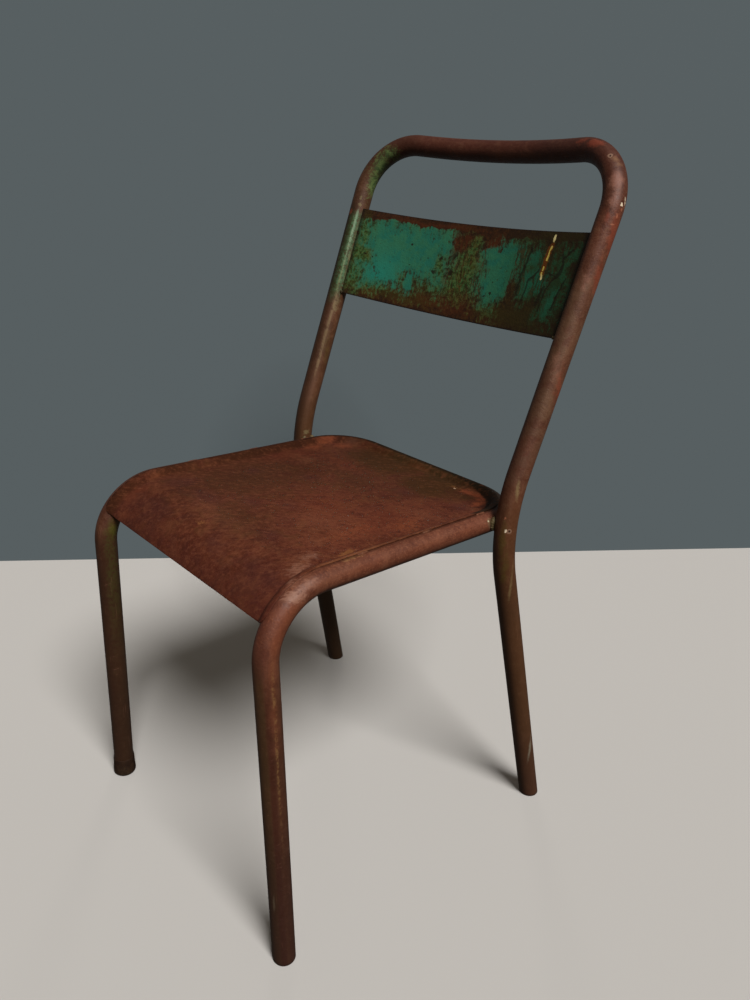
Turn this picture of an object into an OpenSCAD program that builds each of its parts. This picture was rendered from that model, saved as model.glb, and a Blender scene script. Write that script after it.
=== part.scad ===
// Stacking chair: two bent steel tubes welded side by side carry a pressed
// sheet seat and a bowed sheet back slat. One tube is the front legs, side
// rails and rear rail. The other is the rear legs, uprights and top rail.
// Millimetres. +Z up, -Y is the front, +X is the sitter's left.
// The origin is on the floor, at the middle of the chair's outline.

/* [Tube] */
// Outside diameter of both bent tubes
tube_d = 25; // [24:0.5:26]
// Wall thickness of the tubes
tube_wall = 1.5; // [1.2:0.1:2.5]

/* [Seat frame] */
// Height of the side rails' centre line, taken where it meets the front legs
rail_front_z = 426.5; // [400:0.5:450]
// Height of the rear rail's centre line
rail_rear_z = 414.5; // [400:0.5:425]
// Half the distance between the side rails' centre lines at the front
rail_front_x = 154; // [152:0.5:155]
// Half the distance between the side rails' centre lines at the rear
rail_rear_x = 156; // [155:0.5:157]
// Distance of the rear rail's centre line behind the origin
rail_rear_y = 136; // [130:0.5:140]
// Distance of the front corners, before rounding, in front of the origin
front_corner_y = 228.5; // [220:0.5:235]
// Bend radius of the tube at the top of the front legs
front_bend_r = 64; // [56:1:72]
// Bend radius of the tube at the rear corners of the seat
rear_bend_r = 59.5; // [55:0.5:62]
// Half the distance between the front feet
front_foot_x = 181; // [165:1:195]
// Distance of the front feet in front of the origin
front_foot_y = 223; // [215:1:235]

/* [Back frame] */
// Height of the knee, where rear legs and uprights meet before rounding
knee_z = 419.5; // [412:0.5:428]
// Distance of the knee behind the origin
knee_y = 69.5; // [60:0.5:72]
// Bend radius of the knee
knee_bend_r = 215; // [180:5:240]
// Half the distance between the rear feet
rear_foot_x = 204.5; // [195:0.5:215]
// Distance of the rear feet behind the origin
rear_foot_y = 176; // [150:1:200]
// Half the width of the back at its top corners, before rounding
top_x = 187.5; // [184:0.5:192]
// Distance of the top corners behind the origin
top_y = 204.5; // [180:1:225]
// Height of the top corners, before rounding
top_z = 807.5; // [780:1:840]
// Bend radius of the top corners
top_bend_r = 66; // [55:1:75]
// How far the top rail is bowed to the rear
top_bow = 18.5; // [12:0.5:24]
// Clear gap between the two tubes where the weld joins them
joint_gap = 0.3; // [0.2:0.1:0.8]

/* [Seat panel] */
// Thickness of the seat sheet
seat_t = 1.5; // [1.2:0.1:2]
// How far the flat of the seat lies above the tubes' centre lines
seat_flat = 5; // [4:0.5:6]
// Distance of the sheet's rim from the tube's crest, towards the middle
rim_inset = 1; // [0.5:0.5:2]
// How far round the front bend the sheet reaches
front_wrap = 61; // [50:1:70]

/* [Back slat] */
// Distance of the slat's lower edge from the knee, along the uprights
slat_low = 209.5; // [195:0.5:220]
// Height of the slat
slat_h = 112; // [100:1:120]
// Thickness of the slat's sheet
slat_t = 1.5; // [1.2:0.1:2]
// Bend radius of the slat's front face
slat_r = 769; // [700:1:850]
// How far the slat's ends lie in front of the uprights' centre lines
slat_fwd = 4; // [2:0.5:6]

/* [Foot cap] */
// Outside diameter of the foot cap
cap_d = 29.5; // [29:0.5:31]
// Height of the foot cap
cap_h = 28; // [22:1:32]
// Thickness of the foot cap's base under the tube
cap_base = 4; // [3:0.5:6]

/* [Hidden] */
$fn = 48;
rust = "#7a4b3c";
tr = tube_d/2;
tri = tr - tube_wall;

function unit(v) = v/norm(v);
function turn(p, q, r) = 180 - acos(unit(p - q)*unit(r - q));
function tangent_len(p, q, r, rad) = rad*tan(turn(p, q, r)/2);
function mx(p) = [-p.x, p.y, p.z];

// --- centre lines -------------------------------------------------------
// Seat frame, left half: front foot, front corner, rear corner.
sf = [front_foot_x, -front_foot_y, 0];
sc = [rail_front_x, -front_corner_y, rail_front_z];
sr = [rail_rear_x, rail_rear_y, rail_rear_z];
// Side rail: unit vector to the rear and its length between corners.
rail_dir = unit(sr - sc);
rail_len = norm(sr - sc);
function rail_x(y) = sc.x + (sr.x - sc.x)*(y - sc.y)/(sr.y - sc.y);
function rail_z(y) = sc.z + (sr.z - sc.z)*(y - sc.y)/(sr.y - sc.y);

// Back frame, left half: rear foot, knee, top corner, and the apex that the
// bowed top rail is rounded from.
back_up = unit([0, top_y - knee_y, top_z - knee_z]);
back_n = [0, back_up.z, -back_up.y];
bf = [rear_foot_x, rear_foot_y, 0];
// The knee bend cuts its corner, so the bent tube runs a little outside and
// behind the knee point. knee_out is how far outside.
knee_out = 1.38;
bk = [rail_x(knee_y + 9) + tube_d + joint_gap - knee_out, knee_y, knee_z];
bt = [top_x, top_y, top_z];
bm = [0, top_y, top_z] + 2*top_bow*back_n;
bow_t = norm(bm - bt) - tangent_len(bk, bt, bm, top_bend_r);
bow_r = bow_t/tan(turn(bt, bm, mx(bt))/2);

// --- tube segments ------------------------------------------------------
// Straight round bar from a to b.
module bar(a, b, r) {
    v = b - a;
    translate(a) rotate([0, acos(v.z/norm(v)), atan2(v.y, v.x)])
        rotate([0, 0, 40]) cylinder(h = norm(v), r = r);
}
// Lengths of tube stop this far short of the next, and a seam ring inside
// the wall carries the one into the other.
hair = 0.01;
// Straight tube from a to b, carried on by `more` before a.
module pipe(a, b, more = 0) {
    u = unit(b - a);
    a2 = a + u*(more > 0 ? -more : hair);
    b2 = b - u*hair;
    difference() {
        bar(a2, b2, tr);
        bar(a2 - u, b2 + u, tri);
    }
}
module seam(p, u) {
    difference() {
        bar(p - u*2, p + u*2, tr - tube_wall*0.3);
        bar(p - u*3, p + u*3, tri + tube_wall*0.3);
    }
}
// Frame of a bend at q between p and r: x to its start, z along its axis.
module at_bend(p, q, r, rad) {
    a = unit(p - q);
    b = unit(r - q);
    th = turn(p, q, r);
    c = q + unit(a + b)*rad/cos(th/2);
    ex = unit(q + a*rad*tan(th/2) - c);
    ez = unit(cross(ex, q + b*rad*tan(th/2) - c));
    ey = cross(ez, ex);
    multmatrix([[ex.x, ey.x, ez.x, c.x], [ex.y, ey.y, ez.y, c.y],
                [ex.z, ey.z, ez.z, c.z], [0, 0, 0, 1]])
        children();
}
module bend(p, q, r, rad, short = 0) {
    da = short*180/PI/rad;
    at_bend(p, q, r, rad) rotate([0, 0, da])
        rotate_extrude(angle = turn(p, q, r) - 2*da, $fn = 240)
            translate([rad, 0]) difference() {
                circle(r = tr, $fn = 48);
                circle(r = tri, $fn = 48);
            }
}
// Solid bars with the tubes' outside, for cutting what is fitted to them.
module rail_core() { bar(sc, sr, tr); }
module upright_core() { bar(bk, bt, tr); }
module knee_core() {
    at_bend(bf, bk, bt, knee_bend_r)
        rotate_extrude(angle = turn(bf, bk, bt), $fn = 240)
            translate([knee_bend_r, 0]) circle(r = tr, $fn = 48);
}
module below(z) { translate([-400, -400, z - 100]) cube([800, 800, 100]); }
module both() { children(); mirror([1, 0, 0]) children(); }

// --- frame tubes --------------------------------------------------------
module back_half() {
    tk = tangent_len(bf, bk, bt, knee_bend_r);
    tt = tangent_len(bk, bt, bm, top_bend_r);
    up = unit(bt - bk);
    pipe(bf, bk + unit(bf - bk)*tk, 15);
    bend(bf, bk, bt, knee_bend_r);
    pipe(bk + up*tk, bt - up*tt);
    bend(bk, bt, bm, top_bend_r);
    seam(bk + unit(bf - bk)*tk, unit(bf - bk));
    seam(bk + up*tk, up);
    seam(bt - up*tt, up);
    seam(bt + unit(bm - bt)*tt, unit(bm - bt));
}
module back_frame_tube() {
    color(rust) difference() {
        union() {
            both() back_half();
            bend(bt, bm, mx(bt), bow_r, hair);
        }
        below(0);
    }
}
module seat_half() {
    tf = tangent_len(sf, sc, sr, front_bend_r);
    tb = tangent_len(sc, sr, mx(sr), rear_bend_r);
    pipe(sf, sc + unit(sf - sc)*tf, 15);
    bend(sf, sc, sr, front_bend_r);
    pipe(sc + rail_dir*tf, sr - rail_dir*tb);
    bend(sc, sr, mx(sr), rear_bend_r);
    seam(sc + unit(sf - sc)*tf, unit(sf - sc));
    seam(sc + rail_dir*tf, rail_dir);
    seam(sr - rail_dir*tb, rail_dir);
    seam(sr - [tb, 0, 0], [1, 0, 0]);
}
module seat_frame_tube() {
    tb = tangent_len(sc, sr, mx(sr), rear_bend_r);
    color(rust) difference() {
        union() {
            both() seat_half();
            pipe(sr - [tb, 0, 0], mx(sr) + [tb, 0, 0]);
        }
        below(0);
        // The capped leg stops on the cap's base.
        translate([-front_foot_x - 30, -front_foot_y - 30, -50])
            cube([60, 60, 50 + cap_base]);
    }
}

// --- seat panel ---------------------------------------------------------
// The sheet rests on the upper inner quarter of the side and rear rails,
// turns back to a shallow flat tray, and follows the front bend down.
// Height of the sheet over the centre lines at distance d inside them, for
// a face at radius ru from the tube's centre line, with hollow radius rh.
lift = 0.2;
hollow_r = 6;
wrap = acos((seat_flat + hollow_r)/(tr + lift + hollow_r));
function face_w(d, ru, rh) =
    d < ru*sin(wrap) ? sqrt(ru*ru - d*d) :
    d < (ru + rh)*sin(wrap) ?
        (ru + rh)*cos(wrap) - sqrt(rh*rh - pow((ru + rh)*sin(wrap) - d, 2)) :
    (ru + rh)*cos(wrap) - rh;
function under_w(d) = face_w(d, tr + lift, hollow_r);
function upper_w(d) = face_w(d, tr + lift + seat_t, hollow_r - seat_t);

// Side view of the tube's centre line: rail, then the front bend.
rail_yz = unit([rail_dir.y, rail_dir.z]);
bend_th = turn(sf, sc, sr);
bend_t = front_bend_r*tan(bend_th/2);
bend_c = sc + unit(unit(sf - sc) + rail_dir)*front_bend_r/cos(bend_th/2);
bend_ex = unit(sc + rail_dir*bend_t - bend_c);
bend_ey = unit(unit(sf - sc)*bend_t - rail_dir*bend_t
               + bend_ex*((1 - cos(bend_th))*front_bend_r));
function bend_pt(a) = bend_c + front_bend_r*(cos(a)*bend_ex + sin(a)*bend_ey);
function bend_nrm(a) = cos(a)*bend_ex + sin(a)*bend_ey;
// Rear corner of the sheet's outline, in distances along the rail.
corner_s = rail_len - rear_bend_r;
corner_x = sr.x - rear_bend_r;
rim_r = rear_bend_r - rim_inset;
// Each row is [y, z, ny, nz, half width, centre line x, s]; s under 0 is on
// the bend, where only the side rails bound the sheet.
bend_rows = [for (i = [0:12]) let (a = front_wrap*(1 - i/12), p = bend_pt(a),
             n = unit([bend_nrm(a).y, bend_nrm(a).z]))
             [p.y, p.z, n.x, n.y, p.x - rim_inset - corner_cut(front_wrap - a), p.x, -1]];
function corner_cut(a) = let (l = a*PI*front_bend_r/180, c = 7)
    l < c ? c - sqrt(c*c - pow(c - l, 2)) : 0;
rail_rows = [for (i = [1:9]) let (s = bend_t + (corner_s - bend_t)*i/9,
             p = sc + rail_dir*s)
             [p.y, p.z, -rail_yz.y, rail_yz.x, p.x - rim_inset, p.x, s]];
rear_rows = [for (i = [1:18]) let (s = corner_s + rim_r*sin(5*i),
             p = sc + rail_dir*s)
             [p.y, p.z, -rail_yz.y, rail_yz.x,
              corner_x + rim_r*cos(5*i), p.x, s]];
rows = concat(bend_rows, rail_rows, rear_rows);
// Distances from the rim of the sheet's columns, at full width.
half_cols = [0, 1.2, 2.6, 4.2, 5.8, 7.4, 9, 10.6, 12.2, 14.5, 19, 30, 60, 105];
full_w = rail_front_x - rim_inset;
cols = concat([for (c = half_cols) -(1 - c/full_w)], [0],
              [for (i = [len(half_cols) - 1:-1:0]) 1 - half_cols[i]/full_w]);
function inside(x, row) = let (s = row[6], ax = abs(x))
    s <= corner_s ? row[5] - ax :
    ax <= corner_x ? rail_len - s :
    rear_bend_r - norm([ax - corner_x, s - corner_s]);
function on_row(row, f, top) = let (x = f*row[4], d = max(0, inside(x, row)),
    w = top ? upper_w(d) : under_w(d))
    [x, row[0] + w*row[2], row[1] + w*row[3]];
nr = len(rows);
nc = len(cols);
panel_pts = concat([for (r = rows) for (f = cols) on_row(r, f, true)],
                   [for (r = rows) for (f = cols) on_row(r, f, false)]);
function pid(i, j, top) = (top ? 0 : nr*nc) + i*nc + j;
function two(a, b, c, d) = [[a, b, c], [a, c, d]];
panel_faces = concat(
    [for (i = [0:nr - 2]) for (j = [0:nc - 2]) each
        two(pid(i, j, true), pid(i + 1, j, true),
            pid(i + 1, j + 1, true), pid(i, j + 1, true))],
    [for (i = [0:nr - 2]) for (j = [0:nc - 2]) each
        two(pid(i, j, false), pid(i, j + 1, false),
            pid(i + 1, j + 1, false), pid(i + 1, j, false))],
    [for (j = [0:nc - 2]) each
        two(pid(0, j, true), pid(0, j + 1, true),
            pid(0, j + 1, false), pid(0, j, false))],
    [for (j = [0:nc - 2]) each
        two(pid(nr - 1, j, true), pid(nr - 1, j, false),
            pid(nr - 1, j + 1, false), pid(nr - 1, j + 1, true))],
    [for (i = [0:nr - 2]) each
        two(pid(i, 0, true), pid(i, 0, false),
            pid(i + 1, 0, false), pid(i + 1, 0, true))],
    [for (i = [0:nr - 2]) each
        two(pid(i, nc - 1, true), pid(i + 1, nc - 1, true),
            pid(i + 1, nc - 1, false), pid(i, nc - 1, false))]);
module seat_panel() {
    color("#7d4534") polyhedron(points = panel_pts, faces = panel_faces);
}

// --- back slat ----------------------------------------------------------
// Frame of the back's plane: y to the rear, z up along the uprights.
module in_back() {
    multmatrix([[1, 0, 0, 0], [0, back_n.y, back_up.y, knee_y],
                [0, back_n.z, back_up.z, knee_z], [0, 0, 0, 1]])
        children();
}
slat_end_x = bk.x + (bt.x - bk.x)*(slat_low + slat_h/2)/norm(bt - bk);
slat_c = -slat_fwd - sqrt(slat_r*slat_r - pow(slat_end_x - tr, 2));
slat_a = asin(slat_end_x/slat_r);
module slat_sheet() {
    in_back() translate([0, slat_c, slat_low]) rotate([0, 0, 90 - slat_a])
        rotate_extrude(angle = 2*slat_a, $fn = 720)
            translate([slat_r, 0]) square([slat_t, slat_h]);
}
module back_slat() {
    color("#3f7d6b") difference() {
        slat_sheet();
        both() upright_core();
    }
}

// --- welds --------------------------------------------------------------
// Bead between the two frame tubes, where the knee passes the side rail.
knee_th = turn(bf, bk, bt);
knee_top = bk + unit(unit(bf - bk) + unit(bt - bk))
           *knee_bend_r*(1/cos(knee_th/2) - 1);
module joint_bead() {
    rx = rail_x(knee_top.y);
    difference() {
        translate([rx + 2, knee_top.y, knee_top.z]) rotate([0, 90, 0])
            cylinder(h = knee_top.x - rx - 4, r = 7.5);
        rail_core();
        knee_core();
    }
}
module joint_weld_left() { color("#8a8a78") joint_bead(); }
module joint_weld_right() { color("#8a8a78") mirror([1, 0, 0]) joint_bead(); }

// Short beads behind the slat's ends, at its top and bottom.
bead_r = 3;
module slat_beads() {
    ux = unit(bt - bk);
    for (h = [slat_low + 1, slat_low + slat_h - 23]) {
        p = bk + ux*h + back_n*(slat_t - slat_fwd + 2.2) - [tr - 0.2, 0, 0];
        difference() {
            bar(p, p + ux*22, bead_r, $fn = 96);
            bar(bk, bt, tr, $fn = 360);
            slat_sheet();
        }
    }
}
module slat_weld_left() { color("#5d6f5c") slat_beads(); }
module slat_weld_right() { color("#5d6f5c") mirror([1, 0, 0]) slat_beads(); }

// Tack welds along the panel's rim, on the crest of each side rail.
rim_n = [0, -rail_yz.y, rail_yz.x];
rim_x = cross(rail_dir, rim_n);
module panel_tacks() {
    difference() {
        for (s = [110, 200, 285]) {
            p = sc + rail_dir*s + [-0.4, 0, 0] + rim_n*(tr + 0.6);
            bar(p, p + rail_dir*14, 1.6, $fn = 96);
        }
        rail_core();
        // The sheet's edge, which the beads lie against.
        multmatrix([[rim_x.x, rail_dir.x, rim_n.x, sc.x - rim_inset],
                    [rim_x.y, rail_dir.y, rim_n.y, sc.y],
                    [rim_x.z, rail_dir.z, rim_n.z, sc.z], [0, 0, 0, 1]])
            translate([-20, 0, 0]) cube([20, rail_len, 30]);
    }
}
module panel_weld_left() { color("#a07a55") panel_tacks(); }
module panel_weld_right() { color("#a07a55") mirror([1, 0, 0]) panel_tacks(); }

// --- foot cap -----------------------------------------------------------
// Sleeve with a closed, round-edged base, on the right front leg only.
module cap_outer() {
    e = 5;
    v = unit(sc - sf);
    translate(mx(sf)) rotate([0, acos(v.z), atan2(v.y, -v.x)])
        rotate([0, 0, 40]) union() {
            translate([0, 0, e - 0.6]) cylinder(h = cap_h - e + 0.6, d = cap_d);
            translate([0, 0, -0.6]) cylinder(h = e, r = cap_d/2 - e);
            translate([0, 0, e - 0.6]) rotate_extrude()
                translate([cap_d/2 - e, 0]) circle(r = e);
        }
}
module foot_cap() {
    color("#5b4036") difference() {
        cap_outer();
        below(0);
        difference() {
            bar(mx(sf), mx(sf + unit(sc - sf)*60), tr);
            below(cap_base);
        }
    }
}

back_frame_tube();
seat_frame_tube();
seat_panel();
back_slat();
joint_weld_left();
joint_weld_right();
slat_weld_left();
slat_weld_right();
panel_weld_left();
panel_weld_right();
foot_cap();
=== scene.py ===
import math
import bpy
from mathutils import Matrix, Vector, noise


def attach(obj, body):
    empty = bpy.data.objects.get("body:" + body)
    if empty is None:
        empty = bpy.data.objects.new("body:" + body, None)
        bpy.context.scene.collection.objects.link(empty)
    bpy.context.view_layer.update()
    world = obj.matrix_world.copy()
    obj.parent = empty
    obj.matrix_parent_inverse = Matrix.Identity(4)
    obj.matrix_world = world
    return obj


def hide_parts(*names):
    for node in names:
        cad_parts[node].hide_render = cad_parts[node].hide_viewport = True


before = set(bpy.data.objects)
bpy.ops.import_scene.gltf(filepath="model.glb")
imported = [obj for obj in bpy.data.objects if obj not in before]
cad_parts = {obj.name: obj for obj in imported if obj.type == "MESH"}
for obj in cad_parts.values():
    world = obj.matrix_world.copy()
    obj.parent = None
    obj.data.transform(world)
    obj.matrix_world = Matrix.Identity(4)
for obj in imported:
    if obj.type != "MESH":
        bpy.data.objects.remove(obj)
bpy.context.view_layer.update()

MM = 0.001

# ---------------------------------------------------------------------------
# The route of each tube, in millimetres, as the CAD part lays it. Corners are
# given before rounding, with the bend radius at each.
# ---------------------------------------------------------------------------
TUBE_R, BORE_R = 12.5, 11.0
SF, SC, SR = Vector((181, -223, 0)), Vector((154, -228.5, 426.5)), Vector((156, 136, 414.5))
BF, BT = Vector((204.5, 176, 0)), Vector((187.5, 204.5, 807.5))
KNEE_Y, KNEE_Z, KNEE_OUT = 69.5, 419.5, 1.38
TOP_BOW = 18.5
FRONT_BEND, REAR_BEND, KNEE_BEND, TOP_BEND = 64.0, 59.5, 215.0, 66.0
SEAT_T, SEAT_FLAT, RIM_INSET, WRAP_DEG = 1.5, 5.0, 1.0, 61.0
SLAT_LOW, SLAT_H, SLAT_T, SLAT_R, SLAT_FWD = 209.5, 112.0, 1.5, 769.0, 4.0
CAP_D, CAP_H, CAP_BASE = 29.5, 28.0, 4.0


def mx(p):
    return Vector((-p.x, p.y, p.z))


RAIL_DIR = (SR - SC).normalized()
RAIL_LEN = (SR - SC).length


def rail_at(y):
    t = (y - SC.y) / (SR.y - SC.y)
    return SC + (SR - SC) * t


BK = Vector((rail_at(KNEE_Y + 9).x + 2 * TUBE_R + 0.3 - KNEE_OUT, KNEE_Y, KNEE_Z))
UP = Vector((0, BT.y - BK.y, BT.z - BK.z)).normalized()
BN = Vector((0, UP.z, -UP.y))
BM = Vector((0, BT.y, BT.z)) + 2 * TOP_BOW * BN


def turn(p, q, r):
    return math.pi - (p - q).angle(r - q)


def tangent_len(p, q, r, rad):
    return rad * math.tan(turn(p, q, r) / 2)


BOW_T = (BM - BT).length - tangent_len(BK, BT, BM, TOP_BEND)
BOW_R = BOW_T / math.tan(turn(BT, BM, mx(BT)) / 2)


def route(points, radii, step=5.0, arc_step=3.2):
    """Points along a bent tube's centre line, and how tight the bend is at
    each (one over its radius, signed as a vector to the bend's centre)."""
    out = []

    def add(p, bend):
        if not out or (out[-1][0] - p).length > 0.05:
            out.append((p, bend))

    start = points[0]
    for i in range(1, len(points) - 1):
        p, q, r, rad = points[i - 1], points[i], points[i + 1], radii[i - 1]
        a, b = (p - q).normalized(), (r - q).normalized()
        th = turn(p, q, r)
        t = rad * math.tan(th / 2)
        s0 = q + a * t
        n = max(1, round((s0 - start).length / step))
        for k in range(n + 1):
            add(start.lerp(s0, k / n), Vector())
        c = q + (a + b).normalized() * rad / math.cos(th / 2)
        ex = (s0 - c).normalized()
        ez = ex.cross(q + b * t - c).normalized()
        ey = ez.cross(ex)
        n = max(6, round(rad * th / arc_step))
        for k in range(n + 1):
            w = th * k / n
            d = ex * math.cos(w) + ey * math.sin(w)
            add(c + d * rad, -d / rad * math.sin(math.pi * k / n))
        start = q + b * t
    n = max(1, round((points[-1] - start).length / step))
    for k in range(n + 1):
        add(start.lerp(points[-1], k / n), Vector())
    return out


def new_object(name, verts, faces, smooth=True, attrs=None):
    me = bpy.data.meshes.new(name)
    me.from_pydata([v * MM for v in verts], [], faces)
    me.validate()
    me.update()
    if smooth:
        me.polygons.foreach_set("use_smooth", [True] * len(me.polygons))
    for key, (kind, values) in (attrs or {}).items():
        at = me.attributes.new(key, kind, "POINT")
        if kind == "FLOAT":
            at.data.foreach_set("value", values)
        else:
            at.data.foreach_set("vector", [c for v in values for c in v])
    ob = bpy.data.objects.new(name, me)
    bpy.context.scene.collection.objects.link(ob)
    return ob


def sharpen(ob, angle):
    """Hard edges where two faces meet at more than this, in degrees."""
    me = ob.data
    import bmesh
    bm = bmesh.new()
    bm.from_mesh(me)
    bmesh.ops.recalc_face_normals(bm, faces=bm.faces)
    lim = math.radians(angle)
    for e in bm.edges:
        if len(e.link_faces) == 2 and e.calc_face_angle(0) > lim:
            e.smooth = False
    bm.to_mesh(me)
    bm.free()


def tube(name, points, radii, lows, seed):
    """A hollow bent tube. lows holds the height that each end is cut at."""
    path = route(points, radii)
    ps = [p for p, _ in path]
    n = len(ps)
    tans = []
    for i in range(n):
        a, b = ps[max(i - 1, 0)], ps[min(i + 1, n - 1)]
        tans.append((b - a).normalized())
    nrm = tans[0].cross(Vector((0, 1, 0))).normalized()
    frames = []
    run = [0.0]
    for i in range(n):
        if i:
            nrm = (nrm - tans[i] * nrm.dot(tans[i])).normalized()
            run.append(run[-1] + (ps[i] - ps[i - 1]).length)
        frames.append((nrm.copy(), tans[i].cross(nrm).normalized()))
    total = run[-1]
    verts, faces, sweep = [], [], []
    off = Vector((seed * 31.7, seed * 17.3, 5.1))

    def ring(i, seg, rad, lift, rough):
        """One ring of vertices. lift moves it along the tube at its ends."""
        first = len(verts)
        p, (u, v), t = ps[i], frames[i], tans[i]
        bend = path[i][1]
        for k in range(seg):
            w = 2 * math.pi * k / seg
            d = u * math.cos(w) + v * math.sin(w)
            r = rad
            if rough:
                at = p + d * rad
                r -= 0.10 * (0.5 + 0.5 * noise.noise(at * 0.055 + off))
                r -= 0.07 * (0.5 + 0.5 * noise.noise(at * 0.16 + off))
                r -= 0.03 * (0.5 + 0.5 * noise.noise(at * 0.55 + off))
                # The outside of a bend flattens a little.
                out = -d.dot(bend) * 60
                if out > 0:
                    r -= 0.30 * min(out, 1.0) ** 2
            q = p + d * r
            for end, sign in ((0, -1), (1, 1)):
                dist = run[i] if end == 0 else total - run[i]
                z = lows[end] + lift
                w2 = max(0.0, 1 - dist / 25)
                if w2 > 0 and dist < 25:
                    # Turn the rings to lie level where the leg is cut.
                    level = (q.z - p.z) / t.z
                    q = q - t * level * w2
                    if dist < 1e-6:
                        q = q + t * ((z - q.z) / t.z)
            verts.append(q)
            sweep.append((run[i] * MM, math.cos(w) * rad * MM, math.sin(w) * rad * MM))
        return first

    seg_o, seg_i = 56, 28
    outer = []
    # A small round on each end's edge.
    for i in range(n):
        outer.append(ring(i, seg_o, TUBE_R, 0.5 if i in (0, n - 1) else 0, True))
    inner = []
    for i in range(0, n):
        inner.append(ring(i, seg_i, BORE_R, 0.4 if i in (0, n - 1) else 0, False))

    def skin(rows, seg, flip):
        for a, b in zip(rows, rows[1:]):
            for k in range(seg):
                f = (a + k, a + (k + 1) % seg, b + (k + 1) % seg, b + k)
                faces.append(f[::-1] if flip else f)

    skin(outer, seg_o, False)
    skin(inner, seg_i, True)
    for i, flip in ((0, True), (n - 1, False)):
        mid_o = ring(i, seg_o, TUBE_R - 0.5, 0, False)
        mid_i = ring(i, seg_i, BORE_R + 0.4, 0, False)
        a, b = outer[0 if i == 0 else -1], mid_o
        for k in range(seg_o):
            f = (a + k, a + (k + 1) % seg_o, b + (k + 1) % seg_o, b + k)
            faces.append(f[::-1] if flip else f)
        # The flat ring between the two rounds: one inner side to two outer.
        for k in range(seg_i):
            o0, o1, o2 = (mid_o + 2 * k) , mid_o + 2 * k + 1, mid_o + (2 * k + 2) % seg_o
            i0, i1 = mid_i + k, mid_i + (k + 1) % seg_i
            for f in ((o0, o1, i0), (o1, o2, i1), (o1, i1, i0)):
                faces.append(f[::-1] if flip else f)
        a, b = mid_i, inner[0 if i == 0 else -1]
        for k in range(seg_i):
            f = (a + k, a + (k + 1) % seg_i, b + (k + 1) % seg_i, b + k)
            faces.append(f[::-1] if flip else f)
    return new_object(name, verts, faces, attrs={"sweep": ("FLOAT_VECTOR", sweep)})


back_tube = tube("back_tube", [BF, BK, BT, BM, mx(BT), mx(BK), mx(BF)],
                 [KNEE_BEND, TOP_BEND, BOW_R, TOP_BEND, KNEE_BEND], (0, 0), 1)
seat_tube = tube("seat_tube", [SF, SC, SR, mx(SR), mx(SC), mx(SF)],
                 [FRONT_BEND, REAR_BEND, REAR_BEND, FRONT_BEND], (0, CAP_BASE), 2)
for ob in (back_tube, seat_tube):
    sharpen(ob, 50)

# ---------------------------------------------------------------------------
# Seat panel: one pressed sheet. Its rim lies on the crest of the rails, then
# turns down to a shallow tray, and its front rolls over the bend.
# ---------------------------------------------------------------------------
LIFT, HOLLOW = 0.2, 6.0
WRAP = math.acos((SEAT_FLAT + HOLLOW) / (TUBE_R + LIFT + HOLLOW))


def face_w(d, ru, rh):
    if d < ru * math.sin(WRAP):
        return math.sqrt(ru * ru - d * d)
    if d < (ru + rh) * math.sin(WRAP):
        x = (ru + rh) * math.sin(WRAP) - d
        return (ru + rh) * math.cos(WRAP) - math.sqrt(rh * rh - x * x)
    return (ru + rh) * math.cos(WRAP) - rh


RAIL_YZ = Vector((0, RAIL_DIR.y, RAIL_DIR.z)).normalized()
BEND_TH = turn(SF, SC, SR)
BEND_T = FRONT_BEND * math.tan(BEND_TH / 2)
BEND_C = SC + ((SF - SC).normalized() + RAIL_DIR).normalized() * FRONT_BEND / math.cos(BEND_TH / 2)
BEND_EX = (SC + RAIL_DIR * BEND_T - BEND_C).normalized()
BEND_EY = ((SF - SC).normalized() * BEND_T - RAIL_DIR * BEND_T
           + BEND_EX * ((1 - math.cos(BEND_TH)) * FRONT_BEND)).normalized()
CORNER_S = RAIL_LEN - REAR_BEND
CORNER_X = SR.x - REAR_BEND
RIM_R = REAR_BEND - RIM_INSET


def corner_cut(a):
    l, c = math.radians(a) * FRONT_BEND, 11.5
    return c - math.sqrt(max(0, c * c - (c - l) ** 2)) if l < c else 0


def panel_rows():
    rows = []
    angles = [0, 0.6, 1.3, 2.2, 3.3, 4.6, 6.3] + [8 + (WRAP_DEG - 8) * i / 21 for i in range(22)]
    for fwd in angles:
        a = math.radians(WRAP_DEG - fwd)
        d = BEND_EX * math.cos(a) + BEND_EY * math.sin(a)
        p = BEND_C + d * FRONT_BEND
        n = Vector((0, d.y, d.z)).normalized()
        rows.append((p, n, p.x - RIM_INSET - corner_cut(fwd), -1.0))
    nr = 60
    rn = Vector((0, -RAIL_YZ.z, RAIL_YZ.y))
    for i in range(1, nr + 1):
        s = BEND_T + (CORNER_S - BEND_T) * i / nr
        p = SC + RAIL_DIR * s
        rows.append((p, rn, p.x - RIM_INSET, s))
    for i in range(1, 41):
        w = math.radians(90 * i / 40)
        s = CORNER_S + RIM_R * math.sin(w)
        p = SC + RAIL_DIR * s
        rows.append((p, rn, CORNER_X + RIM_R * math.cos(w), s))
    return rows


def inside_rim(x, row):
    p, _, _, s = row
    ax = abs(x)
    if s <= CORNER_S:
        return p.x - ax
    if ax <= CORNER_X:
        return RAIL_LEN - s
    return REAR_BEND - math.hypot(ax - CORNER_X, s - CORNER_S)


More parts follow.
